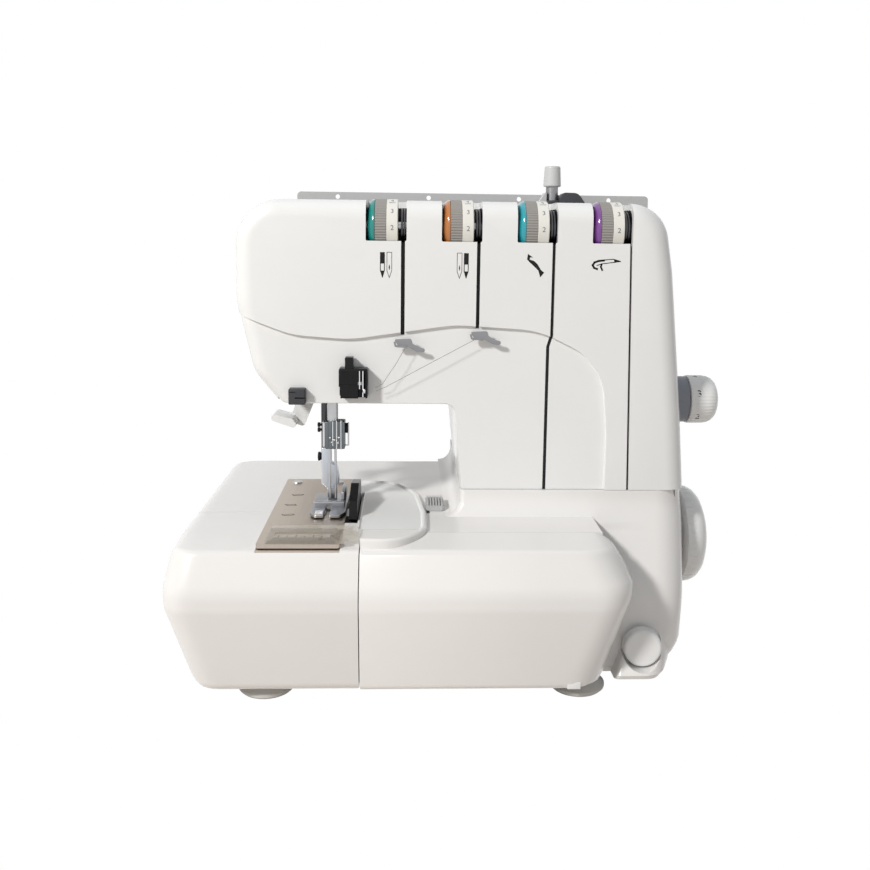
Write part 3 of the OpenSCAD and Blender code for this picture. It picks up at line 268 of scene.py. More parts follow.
def arcs(corners, steps=8):
    """Points round an outline of (u, v, radius) corners."""
    points = []
    count = len(corners)
    for i in range(count):
        a, b, c = (Vector(corners[k % count][:2]) for k in (i - 1, i, i + 1))
        radius = corners[i][2]
        if not radius:
            points.append((b.x, b.y))
            continue
        u, v = (a - b).normalized(), (c - b).normalized()
        half = math.acos(max(-1, min(1, u.dot(v)))) / 2
        radius = min(radius, 0.49 * math.tan(half) * min((a - b).length, (c - b).length))
        centre = b + (u + v).normalized() * radius / math.sin(half)
        start = b + u * radius / math.tan(half) - centre
        stop = b + v * radius / math.tan(half) - centre
        first = math.atan2(start.y, start.x)
        sweep = (math.atan2(stop.y, stop.x) - first + 3 * math.pi) % (2 * math.pi) - math.pi
        for k in range(steps + 1):
            turn = first + sweep * k / steps
            points.append((centre.x + radius * math.cos(turn),
                           centre.y + radius * math.sin(turn)))
    return points


def rounding(radius, steps=7):
    """(distance from a face, inset) pairs that round its edge off."""
    turns = [math.pi / 2 * k / steps for k in range(steps + 1)]
    return [(radius * (1 - math.cos(turn)), radius * (1 - math.sin(turn))) for turn in turns]


def slab(name, corners, axis, start, stop, steps=6, edge=0):
    """An outline swept along an axis, with rounded ends where edge is given."""
    ends = rounding(edge, 4) if edge else [(0, 0)]
    stations = [(start + p, d) for p, d in ends] + [(stop - p, d) for p, d in reversed(ends)]
    rings = []
    for place, depth in stations:
        outline = arcs(inset(corners, depth) if depth else corners, steps)
        rings.append([{"X": (place, u, v), "Y": (u, place, v), "Z": (u, v, place)}[axis]
                      for u, v in outline])
    return loft(name, rings)


def level(points, v):
    """Where a line of (u, v) points crosses v."""
    for (u0, v0), (u1, v1) in zip(points, points[1:]):
        if v0 != v1 and min(v0, v1) <= v <= max(v0, v1):
            return u0 + (u1 - u0) * (v - v0) / (v1 - v0)
    return min(points[0], points[-1], key=lambda point: abs(point[1] - v))[0]


def squeeze(points, centre, left=0, right=0, under=0, over=0):
    """Presses an outline's four sides towards a centre by so many millimetres."""
    us, vs = [p[0] for p in points], [p[1] for p in points]
    squeezed = []
    for u, v in points:
        room_u = (min(us) if u < centre[0] else max(us)) - centre[0]
        room_v = (min(vs) if v < centre[1] else max(vs)) - centre[1]
        take_u = left if u < centre[0] else -right
        take_v = under if v < centre[1] else -over
        squeezed.append((u + (take_u * (u - centre[0]) / room_u if room_u else 0),
                         v + (take_v * (v - centre[1]) / room_v if room_v else 0)))
    return squeezed


def quarter(radius, along):
    """How far a round of this radius has fallen back, this far in from the end."""
    if along >= radius:
        return 0
    return radius - math.sqrt(max(radius ** 2 - (radius - along) ** 2, 0))


def quads(points, width, past=0):
    """Corners round each run of a line of this width, drawn past its ends by a share of it."""
    for a, b in zip(points, points[1:]):
        a, b = Vector(a), Vector(b)
        run = (b - a).normalized() * width / 2
        across = Vector((-run.y, run.x))
        a, b = a - run * past, b + run * past
        yield a + across, b + across, b - across, a - across


# ---- materials
def adjust(material, **sockets):
    """Sets sockets of a material's shader by name."""
    for key, value in sockets.items():
        socket = material.node_tree.nodes["Principled BSDF"].inputs[key.replace("_", " ")]
        socket.default_value = value


class Value:
    """A socket in a material, so that patterns can be written as sums and products."""

    def __init__(self, paint, socket):
        self.paint, self.socket = paint, socket

    def math(self, operation, a, b):
        return self.paint.node("ShaderNodeMath", {"operation": operation}, {0: a, 1: b})

    def __add__(self, other):
        return self.math("ADD", self, other)

    def __radd__(self, other):
        return self.math("ADD", other, self)

    def __sub__(self, other):
        return self.math("SUBTRACT", self, other)

    def __rsub__(self, other):
        return self.math("SUBTRACT", other, self)

    def __mul__(self, other):
        return self.math("MULTIPLY", self, other)

    def __rmul__(self, other):
        return self.math("MULTIPLY", other, self)


class Paint:
    """One material: its shader, and the pattern nodes that feed it."""

    def __init__(self, name, colour, roughness, **constants):
        self.material = bpy.data.materials.new(name)
        self.material.use_nodes = True
        self.tree = self.material.node_tree
        self.shader = self.tree.nodes["Principled BSDF"]
        adjust(self.material, Base_Color=(*colour, 1), Roughness=roughness, **constants)

    def node(self, kind, settings, values, out=0):
        made = self.tree.nodes.new(kind)
        for key, value in settings.items():
            setattr(made, key, value)
        for key, value in values.items():
            self.feed(made.inputs[key], value)
        return Value(self, made.outputs[out])

    def feed(self, socket, value):
        if isinstance(value, Value):
            self.tree.links.new(value.socket, socket)
        else:
            socket.default_value = value

    def place(self, scale=(1, 1, 1)):
        point = self.node("ShaderNodeTexCoord", {}, {}, "Object")
        return self.node("ShaderNodeMapping", {}, {"Vector": point, "Scale": scale})

    def noise(self, scale, stretch=(1, 1, 1), detail=3.0):
        return self.node("ShaderNodeTexNoise", {}, {"Vector": self.place(stretch), "Scale": scale,
                                                    "Detail": detail, "Roughness": 0.55})

    def tint(self, factor, low, high):
        colours = {6: (*low, 1), 7: (*high, 1), 0: factor}
        self.feed(self.shader.inputs["Base Color"],
                  self.node("ShaderNodeMix", {"data_type": "RGBA"}, colours, 2))

    def rough(self, value):
        self.feed(self.shader.inputs["Roughness"], value)

    def bump(self, height, strength, depth):
        self.feed(self.shader.inputs["Normal"],
                  self.node("ShaderNodeBump", {},
                            {"Height": height, "Strength": strength, "Distance": depth}))


def moulded(name, colour, roughness=0.22, swing=0.02, coat=0.25, grain=0.0):
    """Moulded plastic: faint flow marks in its colour, uneven gloss, and a grain where it is satin."""
    paint = Paint(name, colour, roughness, Coat_Weight=coat, Coat_Roughness=0.08)
    flow = paint.noise(22, (1, 1, 1.6))
    paint.tint(flow, [c * (1 - swing) for c in colour], [min(c * (1 + swing), 1) for c in colour])
    paint.rough(roughness - 0.03 + 0.06 * paint.noise(60, detail=5.0))
    if grain:
        paint.bump(paint.noise(2600, detail=1.0), grain, 0.00008)
    else:
        paint.bump(paint.noise(35, detail=1.0), 0.05, 0.0004)
    return paint.material


def metal(name, colour, roughness, brushed=(1, 1, 1), scratch=0.08, dark=0.85):
    """Metal with fine marks drawn out along one way, and slightly uneven polish."""
    paint = Paint(name, colour, roughness, Metallic=1.0)
    marks = paint.noise(900, brushed, detail=4.0)
    paint.tint(marks, [c * dark for c in colour], colour)
    paint.rough(roughness - scratch / 2 + scratch * marks)
    paint.bump(marks, 0.12, 0.00005)
    return paint.material


ALONG_Z, ALONG_X, ALONG_Y = (1, 1, 0.02), (0.02, 1, 1), (1, 0.02, 1)
WHITE = moulded("white_plastic", (0.80, 0.805, 0.80), 0.2)
BASE_WHITE = moulded("base_white_plastic", (0.78, 0.765, 0.75), 0.24)
STAND_WHITE = moulded("stand_white_plastic", (0.74, 0.745, 0.74), 0.3, grain=0.06)
GREY = moulded("grey_plastic", (0.33, 0.35, 0.36), 0.42, coat=0.05, grain=0.15)
PALE_GREY = moulded("pale_grey_plastic", (0.46, 0.465, 0.465), 0.38, coat=0.1, grain=0.1)
BLACK = moulded("black_plastic", (0.012, 0.012, 0.013), 0.3, swing=0.2, coat=0.2, grain=0.08)
# Matte black for the printed signs and figures. It is also used as painted shade: in the slot liners,
# in the wells behind the dials and in the width slide's slot.
BLACK_PRINT_AND_SHADE = moulded("black_print_and_shade", (0.015, 0.015, 0.016), 0.4, coat=0.0)
RUBBER = moulded("grey_rubber", (0.60, 0.59, 0.56), 0.75, coat=0.0, grain=0.3)
BELT = moulded("belt_rubber", (0.018, 0.018, 0.018), 0.7, coat=0.0, grain=0.3)
MOTOR_PAINT = moulded("motor_paint", (0.05, 0.05, 0.055), 0.4, swing=0.1, grain=0.15)
# Steel painted dark. On the chrome presser bar it is a painted reflection of dark surroundings. On the
# tension discs it is painted shade behind the slots.
PAINTED_SHADE_STEEL = metal("steel_with_painted_shade", (0.09, 0.09, 0.095), 0.38, ALONG_Z)
STEEL = metal("steel", (0.56, 0.56, 0.57), 0.3, ALONG_X)
ROD_STEEL = metal("polished_rod", (0.72, 0.72, 0.73), 0.16, ALONG_Z, 0.04)
PLATE = metal("stitch_plate_steel", (0.56, 0.49, 0.42), 0.38, ALONG_Y, 0.12, 0.78)
CHROME = metal("chrome", (0.82, 0.82, 0.83), 0.09, (1, 1, 1), 0.04, 0.95)
IRON = metal("cast_iron", (0.32, 0.33, 0.34), 0.55, (1, 1, 1), 0.15, 0.7)
ALUMINIUM = metal("aluminium", (0.66, 0.67, 0.68), 0.33, ALONG_Z, 0.08, 0.9)
TEAL = moulded("teal_ring", (0.0, 0.21, 0.19), 0.15, 0.06, 0.5)
ORANGE = moulded("orange_ring", (0.42, 0.15, 0.035), 0.15, 0.06, 0.5)
TURQUOISE = moulded("turquoise_ring", (0.01, 0.30, 0.36), 0.15, 0.06, 0.5)
PURPLE = moulded("purple_ring", (0.16, 0.045, 0.24), 0.15, 0.06, 0.5)
GRIP = moulded("dial_grip", (0.30, 0.285, 0.27), 0.42, 0.05, 0.0, 0.12)
CREAM = moulded("dial_band", (0.76, 0.75, 0.70), 0.25)
DIAL_GREY = moulded("blue_grey_plastic", (0.20, 0.215, 0.25), 0.45, coat=0.05, grain=0.1)
GUIDE_STEEL = metal("guide_steel", (0.30, 0.30, 0.31), 0.4, ALONG_X)
FIGURE = moulded("dial_figures", (0.11, 0.12, 0.15), 0.5, coat=0.0)
CAP_GREY = moulded("cap_grey_plastic", (0.56, 0.565, 0.56), 0.3, grain=0.06)
THREAD = moulded("sewing_thread", (0.22, 0.22, 0.22), 0.8, coat=0.0, grain=0.2)
DARK_GREY = moulded("dark_grey_plastic", (0.06, 0.062, 0.068), 0.4, 0.1, 0.1, 0.1)
MARK = moulded("engraved_marks", (0.045, 0.038, 0.032), 0.6, 0.1, 0.0)
CLAMP_STEEL = metal("clamp_steel", (0.17, 0.19, 0.20), 0.3, ALONG_Z)
SHANK = metal("pale_shank", (0.62, 0.66, 0.72), 0.42, ALONG_Z, 0.1, 0.92)
FOOT_STEEL = metal("foot_steel", (0.40, 0.41, 0.43), 0.3, ALONG_Y, 0.12, 0.8)
LENS = moulded("lamp_lens", (0.75, 0.75, 0.68), 0.35, grain=0.1)
CLEAR = moulded("clear_plastic", (0.62, 0.58, 0.50), 0.06)
adjust(CLEAR, Alpha=0.3, IOR=1.49)
for black in (BLACK, BLACK_PRINT_AND_SHADE, BELT, DARK_GREY, MARK):
    adjust(black, Specular_IOR_Level=0.12, Coat_Weight=0.04)

CAD_FINISH = {
    WHITE: "finger_table length_dial feed_ratio_knob handwheel lifter_lever arm_front_cover "
           "arm_rear_cover",
    BASE_WHITE: "base_tray side_cover bed_cover column_base_cover looper_cover",
    STAND_WHITE: "spool_stand spool_pins cone_holders", CAP_GREY: "mast_cap",
    GREY: "length_dial_base",
    PALE_GREY: "thread_guide_bar cutting_width_slide",
    BLACK: "take_up_cover thread_cutter power_switch power_inlet guide_bar_collar tension_bracket "
           "upper_knife",
    # slot liners: black parts in the slots, made matte to paint the shade inside them
    BLACK_PRINT_AND_SHADE: "slot_liners",
    CLEAR: "seam_guide", LENS: "lamp_lens", RUBBER: "rubber_feet", BELT: "drive_belt",
    IRON: "main_frame head_bracket",
    STEEL: "needle_bar screws lower_knife feed_dogs lower_looper upper_looper main_shaft "
           "motor_rotor needles take_up_lever tension_posts cover_hinge_rod",
    PLATE: "stitch_plate",
    CHROME: "presser_foot",
    # presser bar and tension discs: painted dark reflection and painted shade
    PAINTED_SHADE_STEEL: "needle_clamp foot_holder presser_bar tension_discs",
    GUIDE_STEEL: "mast_rod face_thread_guides",
    MOTOR_PAINT: "motor_housing", ALUMINIUM: "mast_tube mast_middle",
    TEAL: "tension_dial_1", ORANGE: "tension_dial_2", TURQUOISE: "tension_dial_3",
    PURPLE: "tension_dial_4",
}
for finish, names in CAD_FINISH.items():
    for name in names.split():
        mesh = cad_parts[name].data
        mesh.materials.clear()
        mesh.materials.append(finish)

# ---- arm
# (x, z, radius) corners, anticlockwise from the foot of the column's right side
ARM = [(X_RIGHT - 0.98, SEAM, 0), (X_RIGHT - 5, ARM_UNDER - 4, 120),
       (X_RIGHT - 14, ARM_TOP - 42, 60), (X_RIGHT - 21, ARM_TOP, 26), (ARM_LEFT, ARM_TOP, 28),
       (ARM_LEFT, ARM_UNDER + 62, 50), (ARM_LEFT + 9.5, ARM_UNDER + 20, 30),
       (ARM_LEFT + 26, ARM_UNDER, 12), (-6.5, ARM_UNDER, 5), (-1, SEAM, 0)]
# how much of the front's and the rear's rounding each of those sides takes
FRONT_EDGE = [1.1, 1.1, 1.1, 0.9, 0.95, 0.95, 0.8, 0.3, 0.3, 0]
REAR_EDGE = [1, 1, 1, 1, 1, 1, 1, 0.5, 0.3, 0]


def arm_form(name, corners, front, back, edge=12, rear_edge=14):
    """The arm and column in one, with the front and rear edges rounded."""
    stations = [(front + p, d, FRONT_EDGE) for p, d in rounding(edge)]
    stations += [(back - p, d, REAR_EDGE) for p, d in reversed(rounding(rear_edge))]
    return loft(name, [[(x, place, z) for x, z in arcs(inset(corners, depth, weights), 10)]
                       for place, depth, weights in stations])


WAVE_X = 91
WAVE = [(-180, 247, 0), (-138, 222.5, 30), (-106, 210.5, 60), (-70, 208, 80), (-6, 217.5, 80),
        (46, 214.5, 60), (74, 201, 40), (88, 184, 40), (WAVE_X, 150, 60), (WAVE_X, SEAM - 20, 0),
        (-180, SEAM - 20, 0)]
below_wave = slab("below_wave", WAVE, "Y", Y_ARM - 20, Y_ARM_REAR + 20, 12)
arm = arm_form("arm", ARM, Y_ARM, Y_ARM_REAR)
# the wave's step takes off what lies below it and outside a slightly smaller form
SMALLER = inset(ARM, WAVE_STEP, [-1, -1, -1, 1, 1, 0.12, 0.12, -1, -1, -2])
carve(below_wave, arm_form("arm_below_wave", SMALLER, Y_ARM + WAVE_STEP, Y_ARM_REAR + 2, 11))
carve(arm, below_wave)
INSIDE = inset(ARM, ARM_WALL, [1] * 9 + [-2])
carve(arm, arm_form("arm_hollow", INSIDE, Y_ARM + ARM_WALL, Y_ARM_REAR - ARM_WALL, 8, 10))

DIAL_R, DIAL_W, PITCH = 17.0, 19.0, 46.2
DIAL_Y, DIAL_Z = Y_ARM + DIAL_R - 1, ARM_TOP + 1 - DIAL_R
DIALS = [-50.6 + PITCH * i for i in range(4)]
SLOTS = [x + DIAL_W / 2 + 3.2 for x in DIALS]
SLOT_W = [2.4, 2.2, 2.0, 1.4]
WINDOW = ARM_TOP - 24.7  # lower edge of the windows that the dials stand in
SLOT_FOOT, OVER_TOP = 211, 320
for i, slot_x in enumerate(SLOTS):
    left, right = slot_x - SLOT_W[i] / 2, slot_x + SLOT_W[i] / 2
    upper = [(right, OVER_TOP, 0), (left, OVER_TOP, 0)]
    path = [[(left, SLOT_FOOT, 1), (right, SLOT_FOOT, 1), *upper],
            [(left, SLOT_FOOT + 4.5, 1), (right, SLOT_FOOT + 4.5, 1), *upper],
            [(left - 2, 100, 0), (right - 2, 100, 0), (right - 2, SLOT_FOOT - 7, 0),
             (right, SLOT_FOOT, 0), *upper, (left, SLOT_FOOT, 0), (left - 2, SLOT_FOOT - 7, 0)],
            [(left + 5, SEAM - 1, 0), (right + 5, SEAM - 1, 0), *upper]][i]
    start, stop = DIALS[i] - DIAL_W / 2 - 0.5, slot_x + 2.1
    carve(arm, slab("slot", path, "Y", Y_ARM - 5, Y_ARM + 6, 4),
          brick("window", (start, Y_ARM - 5, WINDOW), (stop, DIAL_Y + DIAL_R + 2, ARM_TOP + 5), 0.9),
          turned("window_round", "X", (DIAL_Y, DIAL_Z), [(start, DIAL_R + 0.5), (stop, DIAL_R + 0.5)]))
carve(arm, turned("shaft_hole", "X", LENGTH_AXIS, [(X_RIGHT - 20, 5.2), (X_RIGHT + 1, 5.2)], 32),
      brick("head_opening", (-115.5, Y_ARM + 6, ARM_UNDER - 5), (-66, -13, ARM_UNDER + 12), 0),
      brick("take_up_pocket", (-66.5, Y_ARM - 5, 172), (-60.5, Y_ARM + 8, 190), 0))
arm_rear = twin(arm, "arm_rear_shell")
chop(arm, (0, Y_ARM_SPLIT - HAIR, 0), (0, 1, 0))
chop(arm_rear, (0, Y_ARM_SPLIT + HAIR, 0), (0, -1, 0))
arm.name = "arm_front_shell"
done(arm, "machine", "white_plastic", WHITE, "arm_front_cover", angle=32)
done(arm_rear, "machine", "white_plastic", WHITE, "arm_rear_cover", angle=32)

# ---- base, left half
# (y, z, radius) corners of the bed's section, and the bulge of its left end as (x, z, radius)
BED_SIDE = [(Y_FRONT + 10, FOOT, 8), (Y_FRONT, BELLY - 5, 22), (Y_FRONT, BELLY + 5, 22),
            (Y_FRONT + 9.5, CREASE, 5), (Y_DECK, BED, 0), (Y_BED_REAR, BED, 9),
            (Y_BED_REAR, FOOT, 3)]
BED_LEAN = arcs([(15, FOOT - 9, 0), (15, FOOT, 0), (0, BELLY - 6, 36), (0, BELLY + 6, 36),
                 (5, BED, 0), (5, BED + 9, 0)])


def fade(along):
    """How much of an end's lean is left, this far in from the end."""
    return max(0, min(1, (60 - along) / 30))


def closing(ring, centre, part, x, lean):
    """An end's ring drawn in towards its centre, on the lean of that end."""
    drawn = [(centre[0] + (y - centre[0]) * part, centre[1] + (z - centre[1]) * part)
             for y, z in ring]
    return [(x + level(lean, z), y, z) for y, z in drawn]


def bed_form(name, wall, end):
    """The bed's section, swept from its rounded left end to an end at the right."""
    section = arcs(inset(BED_SIDE, wall), 8)
    centre = (-20, 50)
    cap = squeeze(section, centre, 20, 20, 8, 7)
    rings = [closing(cap, centre, part, X_LEFT + wall, BED_LEAN) for part in (0.2, 0.4, 0.6, 0.8, 0.92)]
    for u in (0, 0.4, 1.1, 2.2, 3.6, 5.4, 7.6, 10.2, 13.2, 16.8, 21, 25, 30, 60, end - X_LEFT):
        ring = squeeze(section, centre, quarter(17, u), quarter(20, u), quarter(9, u), quarter(7, u))
        start = X_LEFT + (wall if u < 26 else 0) + u
        rings.append([(start + level(BED_LEAN, z) * fade(u), y, z) for y, z in ring])
    return loft(name, rings)


base = bed_form("base", 0, 20)
left, right = plate_lo.x - 0.15, plate_hi.x + 0.1
carve(base, bed_form("base_hollow", WALL, 24),
      brick("plate_bed", (left, Y_FRONT - 5, BED - 2.1), (right, plate_hi.y + 0.15, BED + 9), 0),
      brick("plate_lip", (left, Y_FRONT - 5, CREASE - 0.7), (right, Y_FRONT + 15, BED + 8), 0),
      brick("under_plate", (plate_lo.x + 5, Y_FRONT + 20, BED - 12),
            (right, plate_hi.y - 8, BED + 7), 0),
      brick("knife_slot", (plate_hi.x - 1, -86, BED - 20), (-64.6, -28, BED + 6), 0),
      brick("underneath", (X_LEFT + 20, Y_DECK + 1, FOOT - 4), (30, Y_BED_REAR - 9, FOOT + 3), 0))
side = twin(base, "side_shell")
chop(side, (X_JOINT, 0, 0), (1, 0, 0))
chop(side, (0, Y_SIDE - HAIR, 0), (0, 1, 0))
chop(base, (0, Y_SIDE + HAIR, 0), (0, -1, 0))
chop(base, (X_BED_END - HAIR, 0, 0), (1, 0, 0))
base.name = "bed_shell"
done(side, "machine", "base_white", BASE_WHITE, "side_cover", angle=32)
done(base, "machine", "base_white", BASE_WHITE, "bed_cover", angle=32)

# ---- looper cover
FLAP_SIDE = BED_SIDE[:4] + [(FLAP_REAR, BED, 0), (FLAP_REAR, FOOT + 36, 0), (Y_FRONT + 20, FOOT, 0)]
FLAP_ROOM = BED_SIDE[:4] + [(FLAP_REAR + 12, BED + 1.5, 0), (FLAP_REAR + 12, FOOT, 0)]
FLAP_LEAN = arcs([(-18, FOOT - 9, 0), (-18, FOOT, 0), (-1, BELLY - 2, 40), (-1, BELLY + 8, 34),
                  (-14, BED, 0), (-14, BED + 9, 0)])


def flap_form(name, wall):
    """The looper cover's form, or the room in it, which is open at the back."""
    section = arcs(inset(FLAP_ROOM, wall) if wall else FLAP_SIDE, 8)
    centre = (FLAP_REAR + (4 if wall else 0), 55)
    rings = []
    for u, depth in ((0, 0),) if wall else ((0, 0.5), (0.15, 0.2), (0.5, 0)):
        ring = squeeze(section, centre, depth, 0, depth, depth)
        rings.append([(FLAP_LEFT + wall + u, y, z) for y, z in ring])
    for u in (60, 30, 24, 20, 16, 12, 9, 6, 4, 2.5, 1.2, 0.4, 0):
        ring = squeeze(section, centre, quarter(22, u), 0, quarter(8, u), quarter(9, u))
        rings.append([(FLAP_RIGHT - wall - u + level(FLAP_LEAN, z) * fade(u), y, z) for y, z in ring])
    rings += [closing(ring, centre, part, FLAP_RIGHT - wall, FLAP_LEAN) for part in (0.8, 0.55, 0.3)]
    return loft(name, rings)


flap = flap_form("looper_shell", 0)
carve(flap, flap_form("looper_hollow", WALL),
      brick("underneath", (FLAP_LEFT - 1, Y_FRONT + 12.5, FOOT - 4),
            (FLAP_RIGHT, FLAP_REAR + 9, FOOT + 3), 0))

# D-shaped work table: its front part lies on the looper cover
TABLE = [(-63.1, Y_FRONT + 14, 3), (-40, Y_FRONT + 12, 22), (-22.5, Y_DECK - 4, 26), (-22, -72, 60),
         (-27, -26, 40), (-44, 2, 26), (-71, 2, 3), (-71, -28, 0), (-63.1, -30, 0)]
TABLE_EDGE = [1] * 6 + [0.12] * 3  # its straight sides by the plate keep almost no round


def table_form(name, foot):
    """The table from its foot up to a raised rim, with its middle sunk a little."""
    top = BED + 3
    rings = []
    for depth, z in ((0, foot), (0, top - 1.6), (0.25, top - 0.9), (0.8, top - 0.3), (1.6, top),
                     (2.4, top - 0.1), (3.1, top - 0.5), (3.7, top - 1.0)):
        outline = inset(TABLE, depth, TABLE_EDGE) if depth else TABLE
        rings.append([(x, y, z) for x, y in arcs(outline, 8)])
    return loft(name, rings)


table = table_form("work_table", BED)
front_table = table_form("work_table_front", BED - 5)
chop(table, (0, Y_DECK, 0), (0, -1, 0))
chop(front_table, (0, FLAP_REAR, 0), (0, 1, 0))
chop(front_table, (FLAP_LEFT, 0, 0), (-1, 0, 0))
done(table, "machine", "white_plastic", WHITE, "finger_table")
carve(flap, front_table, mode="UNION")
done(flap, "looper_cover", "base_white", BASE_WHITE, "looper_cover", angle=32)

# ---- base, under the column
COLUMN_FRONT = arcs([(Y_DECK, FOOT - 5, 0), (Y_DECK, FOOT, 0), (Y_DECK + 6, FOOT + 40, 60),
                     (Y_ARM, SEAM - 6, 30), (Y_ARM, SEAM + 12, 0)])


def column_form(name, wall, top, foot):
    """The base under the column: its front leans back, and its left side steps out over the bed."""
    heights = [foot, *(FOOT + h for h in (0.6, 1.6, 3, 5, 8, 12, 16, 24, 32, 40, 50, 62, 72, 80, 86)),
               BED - 0.3, *(BED + h for h in (0, 0.5, 1.2, 2.4, 4, 6, 8, 9.5, 11, 13)), top]
    rings = []
    for z in heights:
        right = X_RIGHT - wall - quarter(20, max(z - FOOT - wall, 0))
        if z < BED - wall:
            left = X_BED_END + HAIR + wall
        else:
            left = -1 + wall - quarter(9.5, z - BED + wall)
        front = level(COLUMN_FRONT, z) + wall
        back = Y_BED_REAR - wall - quarter(3, max(z - FOOT, 0))
        lean = 6.5 * min(max((92 - z) / 62, 0), 1)
        corners = [(left, front, 3.5), (right - lean, front, 22), (right, back, 16), (left, back, 1)]
        rings.append([(x, y, z) for x, y in arcs(corners, 8)])
    return loft(name, rings)


column = column_form("column_base_shell", 0, SEAM - HAIR, FOOT)
carve(column, column_form("column_hollow", WALL, SEAM - WALL, FOOT - 3),
      brick("top_opening", (3, Y_ARM + 5, SEAM - 9), (X_RIGHT - 7, Y_ARM_REAR - 4, SEAM + 4), 0),
      brick("looper_opening", (X_BED_END - 2, Y_FRONT, FOOT + 3),
            (FLAP_RIGHT - 14, Y_ARM - 8, BED - WALL), 0))
deck = brick("deck", (X_JOINT, Y_DECK, BED - WALL), (FLAP_RIGHT - 17, Y_SIDE + 0.5, BED - 0.05), 0)
carve(deck, brick("knife_slot", (-80, -86, BED - 20), (-64.6, -28, BED + 6), 0))
carve(column, deck, mode="UNION")
# toe round the feed knob, narrower and further back towards its top
toe_rings = []
for k in range(13):
    part = k / 12
    z = FOOT + 34 * part
    back_by, under = 22 * part ** 1.25 + quarter(2.5, z - FOOT), quarter(10, z - FOOT)
    left, front = 91 + 14 * part, Y_FRONT + 21 + back_by
    corners = [(left, front, 3), (120 - 4 * part, front, 22), (131 - 5 * part - under, Y_DECK + 9, 9),
               (126 - 5 * part - under, Y_DECK + 14, 2), (left, Y_DECK + 14, 2)]
    toe_rings.append([(x, y, z) for x, y in arcs(corners, 7)])
toe = loft("toe", toe_rings)
carve(toe, turned("knob_recess", "Y", FEED_KNOB, [(Y_FRONT, 13), (Y_DECK + 12, 13)], 64))
carve(column, toe, mode="UNION")
carve(column, brick("inlet", (X_RIGHT - 16, 32, 28), (X_RIGHT + 1, 56, 48), 0),
      brick("switch", (X_RIGHT - 8, 34, 60), (X_RIGHT + 1, 54, 84), 0.8),
      turned("shaft_hole", "X", WHEEL_AXIS, [(X_RIGHT - 10, 8), (X_RIGHT + 5, 8)], 40),
      turned("knob_hole", "Y", FEED_KNOB, [(Y_FRONT, 3), (Y_ARM, 3)], 32))
done(column, "machine", "base_white", BASE_WHITE, "column_base_cover", angle=32)

# ---- tension dials
def ribbed(name, centre, steps, teeth, depth):
    """A grip turned round X, with a tooth of this depth at every step round it."""
    rings = []
    for along, radius in steps:
        ring = []
        for k in range(teeth * 4):
            turn = math.pi / 2 * k / teeth
            out = radius - (depth if k % 4 > 1 else 0)
            ring.append((along, centre[0] - out * math.cos(turn), centre[1] + out * math.sin(turn)))
        rings.append(ring)
    return loft(name, rings)


def wrapped(piece, wrap, unit=1):
    """Lays a flat drawing where wrap puts each of its points."""
    for vert in piece.data.vertices:
        vert.co = Vector(wrap(*(vert.co / unit))) * MM
    return piece


def figures(words, size, wrap):
    """Raised figures, wrapped round a dial."""
    clear()
    bpy.ops.object.text_add()
    text = bpy.context.object
    text.data.body = words
    text.data.size = size
    text.data.align_x = text.data.align_y = "CENTER"
    text.data.extrude = 0.05
    bpy.ops.object.convert(target="MESH")
    return wrapped(bpy.context.object, wrap)


def round_x(x, centre, radius, turn):
    """Wraps a flat drawing round an X shaft, turned up from the front by so many degrees."""
    def wrap(u, v, out):
        angle = math.radians(turn) + v / radius
        return (x + u, centre[0] - (radius + out) * math.cos(angle),
                centre[1] + (radius + out) * math.sin(angle))
    return wrap


